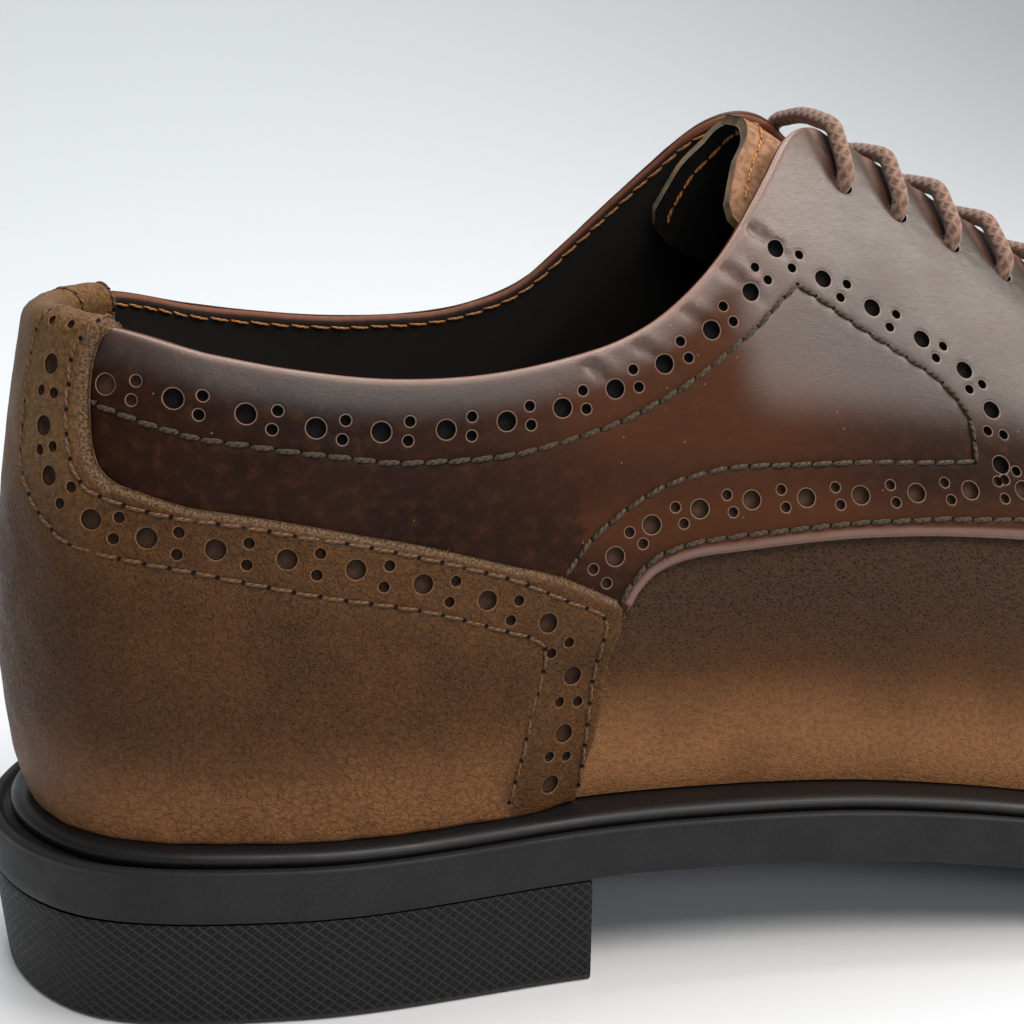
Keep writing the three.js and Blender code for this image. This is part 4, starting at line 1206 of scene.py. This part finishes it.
def vamp():
    """The grained vamp, and the lining with its stitches."""
    rows = 84
    edge = lining_edge(loop_s, loop_x)
    t = 1 - (1 - np.linspace(0, 1, rows + 1)) ** 1.1
    b = -VAMP_FOOT + (edge + VAMP_FOOT)[:, None] * t[None, :]
    s = np.repeat(loop_s[:, None], rows + 1, 1)
    points = wall(s, b, VAMP_DEPTH)
    colors = np.stack([ease((b - 13) / 15), 0 * b, ease((20 - b) / 16), 0 * b], -1)
    flats = np.stack([s, b, 0 * b], -1)
    shell("vamp", points.reshape(-1, 3), flats.reshape(-1, 3), colors.reshape(-1, 4),
          quads(len(loop_s), rows + 1, closed=True), [grain_vamp], ("upper",))
    levels = [edge + up for up, _ in LINING_ROLL]
    depths = [depth for _, depth in LINING_ROLL]
    for k in range(1, 40):
        levels.append((edge + LINING_ROLL[-1][0]) * (1 - k / LINING_ROWS))
        depths.append(LINING_DEPTH)
    b = np.stack(levels, 1)
    band = edge[:, None] - b
    s = np.repeat(loop_s[:, None], b.shape[1], 1)
    points = wall(s, np.maximum(b, .3), np.array(depths)[None, :])
    share = ease((.35 + .8 * ease((np.abs(s) - 112) / 8) - band) / .3)
    colors = np.stack([share, 0 * b, 0 * b, 0 * b], -1)
    flats = np.stack([s, b, 0 * b], -1)
    shell("lining", points.reshape(-1, 3), flats.reshape(-1, 3), colors.reshape(-1, 4),
          quads(len(loop_s), b.shape[1], closed=True), [lining])
    thread = []
    for sign in (1, -1):
        run = np.arange(24, 186, 1.0) * sign
        line = np.stack([run, topline(run) - 1.5], 1)
        thread += stitches(line, lambda s, b, h: wall(s, b, -2.62 - h), 3.0, .2, .1)
    bundle("lining_stitches", thread, thread_amber)


TONGUE_THICK, TONGUE_ROUND = 1.6, .3
# Depth of its outer face under the quarters' outer face: vamp and lining, and a gap
TONGUE_DEPTH = 1.3 + 2.4 + .7


def tongue():
    """A thick sheet over the instep: hairy tan leather outside, dark lining inside, and a raw edge."""
    half = TONGUE["half"][0] * BALL_WIDTH

    def end(side):
        near = 1.9 * ease((side - 2) / 14)
        return np.interp(np.abs(side) / half, TONGUE_END["side"], TONGUE_END["x"]) * LAST_LENGTH + near

    def half_width(x):
        return smooth(TONGUE, "half", x / LAST_LENGTH) * BALL_WIDTH

    def place(x, side, depth=0.0):
        """x along the last, side in mm from the crest, depth under the outer face. The crest is rounded."""
        reach = 6.0 * np.exp(-(side / 9) ** 2)
        return sum(share * at(x, side + reach * step, depth)
                   for step, share in ((-1, 1 / 9), (-.5, 2 / 9), (0, 3 / 9), (.5, 2 / 9), (1, 1 / 9)))

    def at(x, side, depth):
        s = np.where(side >= 0, arc_at(x, 1), arc_at(x, -1))
        b = wall_height(s.ravel()).reshape(s.shape) - np.abs(side)
        room = 2 * LACE_RADIUS + .3
        free = ease((118 - x) / 9)
        droop = .6 * np.exp(-(side / 6) ** 2) * free
        spread = (np.abs(side) - 13 + 10.5 * free) / (10 - 1 * free)
        drop = smooth(TONGUE, "drop", x / LAST_LENGTH) * room * (1 - .8 * ease(spread))
        wave = .12 * np.sin(x * .9) * np.sin(side * .25)
        return wall(s, b, wave - TONGUE_DEPTH - drop - droop - depth)

    across = np.sin(np.linspace(1, -1, 101) * math.pi / 2)
    down = np.linspace(0, 1, 80) ** 1.3
    start = end(across * half)
    x = start[None, :] + (TONGUE["x"][-1] * LAST_LENGTH - start[None, :]) * down[:, None]
    side = across[None, :] * (half + (half_width(x) - half) * ease(down * 2.2)[:, None])
    n, m = x.shape
    flat = np.stack([x, side, 0 * x], -1).reshape(-1, 3)
    points = np.vstack([place(x, side, depth).reshape(-1, 3)
                        for depth in (0, TONGUE_ROUND, TONGUE_THICK - TONGUE_ROUND, TONGUE_THICK)])
    faces = [quads(n, m, flip=True), quads(n, m, start=3 * n * m)]
    index = [np.zeros(len(faces[0])), np.ones(len(faces[1]))]
    border = np.concatenate([np.arange(m), np.arange(1, n) * m + m - 1,
                             (n - 1) * m + np.arange(m - 2, -1, -1), np.arange(n - 2, 0, -1) * m])
    after = np.roll(border, -1)
    for k in range(3):
        faces.append(np.stack([border + k * n * m, after + k * n * m, after + (k + 1) * n * m,
                               border + (k + 1) * n * m], 1))
        index.append(np.full(len(border), 2))
    make("tongue_leather", points, [np.vstack(faces)], [tongue_skin, lining, tongue_edge],
         ("tongue",),
         dict(paint=np.zeros((4 * n * m, 4)), flat=np.vstack([flat] * 4)), np.concatenate(index))
    # Stitches round its top edge, seen from both faces
    inset, pitch, length, thickness = 2.2, 2.9, 2.5, .26
    seam_side = np.linspace(-.9, .9, 120) * half
    seam_x = end(seam_side) + inset
    body = np.sin(np.pi * np.linspace(.02, .98, 6)) ** .5
    thread = []
    for depth in (-.1, TONGUE_THICK + .1):
        path = curve(spaced(place(seam_x, seam_side, depth), 1.0), .3)
        run = run_along(path)
        for begin in np.arange(.4, run[-1] - 3, pitch):
            t = begin + np.linspace(0, length, 6)
            p = np.stack([np.interp(t, run, path[:, c]) for c in range(3)], 1)
            thread.append(tube(p, thickness * (.4 + .6 * body), 8, length0=begin))
    bundle("tongue_stitches", thread, thread_amber)


def laces():
    """One round lace: straight bars from hole to hole, and the runs that cross under them."""
    parts, ends = [], []
    run, bar_run, rise = 0.0, 90, 1.4
    for e in eyelets:
        x = outline(np.array([e]))[0, 0]
        inner = float(arc_at(x, -1))
        path = []
        for sign, s in ((1, e), (-1, inner)):
            top = float(topline(np.array([s]))[0])
            hole = top - LACE_INSET
            line = [(hole - .2, -3.4), (hole - .1, -1.2), (hole + .3, .1), (hole + 1.3, .95),
                    (hole + 3.2, 1.22), (hole + 6, 1.24), (top - .6, 1.25)]
            p = [wall(np.array([s]), np.array([b]), np.array([h]))[0] for b, h in line]
            if sign > 0:
                path += p
            else:
                a, c = path[-1], p[-1]
                for t in (.25, .5, .75):
                    path.append(a + (c - a) * t + [0, 0, rise * math.sin(math.pi * t)])
                path += p[::-1]
        line = curve(np.array(path), .45)
        parts.append(tube(line, LACE_RADIUS, 16, length0=run))
        run += bar_run
        ends.append((line[0], line[-1]))
    for k in range(LACE_BARS - 1):
        a, b = ends[k][1], ends[k + 1][0]
        middle = np.array([eyelets[k] + 4.0])
        mid = wall(middle, wall_height(middle), np.array([-3.9]))[0]
        way = [a, a + (mid - a) * .12 - [0, 0, 1.0], a + (mid - a) * .5, mid, b + (mid - b) * .5,
               b + (mid - b) * .12 - [0, 0, 1.0], b]
        parts.append(tube(curve(np.array(way), .8), LACE_RADIUS, 12, length0=run))
        run += bar_run
    bundle("lace", parts, cord, ("laces",))


def backward(s):
    """How much the outline faces the back, 0 to 1."""
    return np.maximum(0, -plan_normal(s)[:, 0])


def ring(out, height, back=0.0):
    """The outline of the sole at one offset and height, further out at the back."""
    reach = out + back * backward(loop_s)
    p = outline(loop_s) + plan_normal(loop_s) * reach[:, None]
    return np.concatenate([p, height(p[:, 0])[:, None]], 1)


def loft(name, rings, materials, replaces):
    """A piece made of rings round the sole's outline."""
    p = np.stack(rings, 1)
    s = np.repeat(loop_s[:, None], len(rings), 1)
    flat = np.stack([s, runs_across(p), 0 * s], -1)
    return shell(name, p.reshape(-1, 3), flat.reshape(-1, 3), np.zeros((s.size, 4)),
                 quads(len(loop_s), len(rings), closed=True), materials, replaces)


# The sole's seat and raised lip, as offset and drop under the feather line; its lower edge, as offset and
# rise over the underside; the bead's reach, radius and half height
LIP = [(-8, 3.0), (2.9, 3.0), (3.35, 3.05), (3.7, 2.75), (4.0, 2.3), (4.25, 2.12), (4.7, 2.08), (5.1, 2.12),
       (5.3, 2.3), (5.42, 2.6), (5.36, 2.85), (5.3, 3.0), (5.32, 3.2), (5.36, 3.5)]
LOWER_EDGE = [(5.34, 1.6), (5.3, 1.0), (5.1, .45), (4.8, .12), (4.3, 0), (3, 0)]
BEAD_REACH, BEAD_ACROSS, BEAD_DEEP, BEAD_MIDDLE, BEAD_TOP, BEAD_FOOT = 3.9, 1.7, 1.35, 1.75, .4, 3.1


def sole():
    """The moulded sole with its lip, and the bead between it and the leather."""
    def at(drop):
        return lambda x: feather(x) - drop

    def up(rise):
        return lambda x: underside(x) + rise * (1 - .88 * ease((HEEL_LENGTH + 1 - x) / 2))

    rings = [ring(out, at(drop), SOLE_BACK * (out > 3)) for out, drop in LIP]
    lower = [(out, up(rise)) for out, rise in LOWER_EDGE]
    upper_ring, lower_ring = rings[-1], ring(*lower[0], SOLE_BACK)
    for t in (.25, .5, .75):
        rings.append(upper_ring + (lower_ring - upper_ring) * t)
    rings += [ring(out, height, SOLE_BACK) for out, height in lower]
    rim = rings[-1]
    for share in (.8, .6, .4, .2, 0):
        spine = np.stack([rim[:, 0], CREST_SHIFT + 0 * rim[:, 0]], 1)
        inward = spine + (rim[:, :2] - spine) * share
        rings.append(np.concatenate([inward, underside(inward[:, 0])[:, None]], 1))
    loft("sole", rings, [rubber], ("outsole",))
    bead = [(LIP[0][0], at(BEAD_TOP))]
    for turn in np.radians(np.linspace(0, 180, 15)):
        bead.append((BEAD_REACH - BEAD_ACROSS + BEAD_ACROSS * math.sin(turn),
                     at(BEAD_MIDDLE - BEAD_DEEP * math.cos(turn))))
    bead.append((LIP[0][0], at(BEAD_FOOT)))
    loft("welt_bead", [ring(out, height) for out, height in bead], [bead_rubber], ("welt",))


# The heel block's side: shares of the way down, and how far it tucks in there
HEEL_SIDE = [(0, .12), (.02, .02), (.05, 0), (.15, 0), (.3, 0), (.45, 0), (.6, 0), (.75, 0), (.88, 0),
             (.95, .08), (.98, .3), (1, .7)]
HEEL_INSET = .12


def heel():
    """The heel block: knurled sides, and a plain breast and underside."""
    columns, breast_columns, bottom_columns = 160, 40, 30
    s = np.linspace(arc_at(HEEL_LENGTH, -1), arc_at(HEEL_LENGTH, 1), columns)
    foot, normal, back = outline(s), plan_normal(s), backward(s)
    head = SOLE_OUT - HEEL_INSET + SOLE_BACK * back
    base = SOLE_OUT - HEEL_STEP + (SOLE_BACK - HEEL_TUCK) * back
    top = underside(np.minimum(foot[:, 0], HEEL_LENGTH)) - .1
    rows = []
    for share, tuck in HEEL_SIDE:
        p = foot + normal * (head + (base - head) * share - tuck)[:, None]
        p[:, 0] = np.minimum(p[:, 0], HEEL_LENGTH)
        rows.append(np.concatenate([p, (top * (1 - share))[:, None]], 1))
    side = np.stack(rows, 1)
    # The breast and the underside are closed with strips between the two sides
    breast = np.stack([np.linspace(side[-1, j], side[0, j], breast_columns) for j in range(len(rows))], 1)
    bottom = np.stack([np.linspace(side[columns - 1 - k, -1], side[k, -1], bottom_columns)
                       for k in range(columns // 2)])
    run = runs_across(side)
    points, flats, faces, marks, count = [], [], [], [], 0
    for grid, flat, mark in (
            (side, np.stack([np.repeat(s[:, None], len(rows), 1), run, 0 * run], -1), 0),
            (breast, breast[..., (1, 2, 2)] * [1, 1, 0], 1),
            (bottom, bottom[..., (0, 1, 1)] * [1, 1, 0], 1)):
        size = grid.shape[0] * grid.shape[1]
        points.append(grid.reshape(-1, 3))
        flats.append(flat.reshape(-1, 3))
        faces.append(quads(*grid.shape[:2], start=count))
        marks.append(np.full((size, 4), float(mark)))
        count += size
    shell("heel_block", np.vstack(points), np.vstack(flats), np.vstack(marks), np.vstack(faces),
          [heel_rubber], ("heel",))


quarter(1)
quarter(-1)
counter()
vamp()
tongue()
laces()
sole()
heel()
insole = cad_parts["insole"]
insole.data.materials.clear()
insole.data.materials.append(sock)

# The floor turns up into a backdrop behind the shoe, so no horizon shows
floor_material = Nodes("studio_floor").finish(rgb(203, 208, 213), .7, specular=.1)
FLOOR_REACH, FLOOR_BEND, WALL_TOP, HALF_WIDTH = .45, 1.75, 2.6, 4.0
floor_line = [(-HALF_WIDTH, 0)]
for angle in np.linspace(0, math.pi / 2, 24):
    floor_line.append((FLOOR_REACH + FLOOR_BEND * math.sin(angle), FLOOR_BEND * (1 - math.cos(angle))))
floor_line.append((FLOOR_REACH + FLOOR_BEND, WALL_TOP))
cove = np.array([[[x, y, z] for y, z in floor_line] for x in (-HALF_WIDTH, HALF_WIDTH)])
mesh = bpy.data.meshes.new("studio_floor")
mesh.from_pydata(cove.reshape(-1, 3).tolist(), [], quads(2, len(floor_line)).tolist())
mesh.polygons.foreach_set("use_smooth", [True] * len(mesh.polygons))
mesh.materials.append(floor_material)
floor = bpy.data.objects.new("studio_floor", mesh)
bpy.context.scene.collection.objects.link(floor)


def lamp(name, place, target, width, depth, power, color):
    """A soft box, aimed from its place at a target."""
    light = bpy.data.lights.new(name, "AREA")
    light.shape = "RECTANGLE"
    light.size = width
    light.size_y = depth
    light.energy = power
    light.color = color
    box = bpy.data.objects.new(name, light)
    bpy.context.scene.collection.objects.link(box)
    box.location = place
    box.rotation_mode = "QUATERNION"
    box.rotation_quaternion = (Vector(target) - Vector(place)).to_track_quat("-Z", "Y")


lamp("softbox_right", (.86, -.46, .84), (.08, 0, .07), .7, .55, 12, (1, .89, .8))
lamp("softbox_front", (.22, -1.35, .66), (.04, 0, .06), 1.0, .3, 5, (1, 1, 1))
lamp("softbox_key", (.1, -.75, 1.15), (.06, 0, .06), .6, .5, 10, (1, .91, .84))
lamp("softbox_top", (.12, .3, 1.2), (.08, .05, .0), .6, .5, 11, (1, 1, 1))
lamp("backdrop_light", (0, .7, 1.5), (0, 2.2, .5), 1.8, 1.8, 11, (.97, 1, 1))
world = bpy.data.worlds.new("studio")
world.use_nodes = True
world.node_tree.nodes["Background"].inputs[0].default_value = (.9, .93, .94, 1)
world.node_tree.nodes["Background"].inputs[1].default_value = .19
bpy.context.scene.world = world
bpy.context.scene.view_settings.view_transform = "Standard"

# The camera, in metres and degrees; its focal length is 1462 pixels of a picture 1024 wide
CAMERA_AT = (.0075 - ORIGIN_X / 1000, -.200, .107)
CAMERA_TURN, CAMERA_TILT = 17.0, 13.2
SENSOR, FOCAL = 36.0, 36.0 * 1462 / 1024
camera_data = bpy.data.cameras.new("camera")
camera_data.sensor_width = SENSOR
camera_data.lens = FOCAL
camera_data.clip_start = .01
camera = bpy.data.objects.new("camera", camera_data)
bpy.context.scene.collection.objects.link(camera)
camera.location = CAMERA_AT
camera.rotation_euler = (math.radians(90 - CAMERA_TILT), 0, math.radians(-CAMERA_TURN))
bpy.context.scene.camera = camera
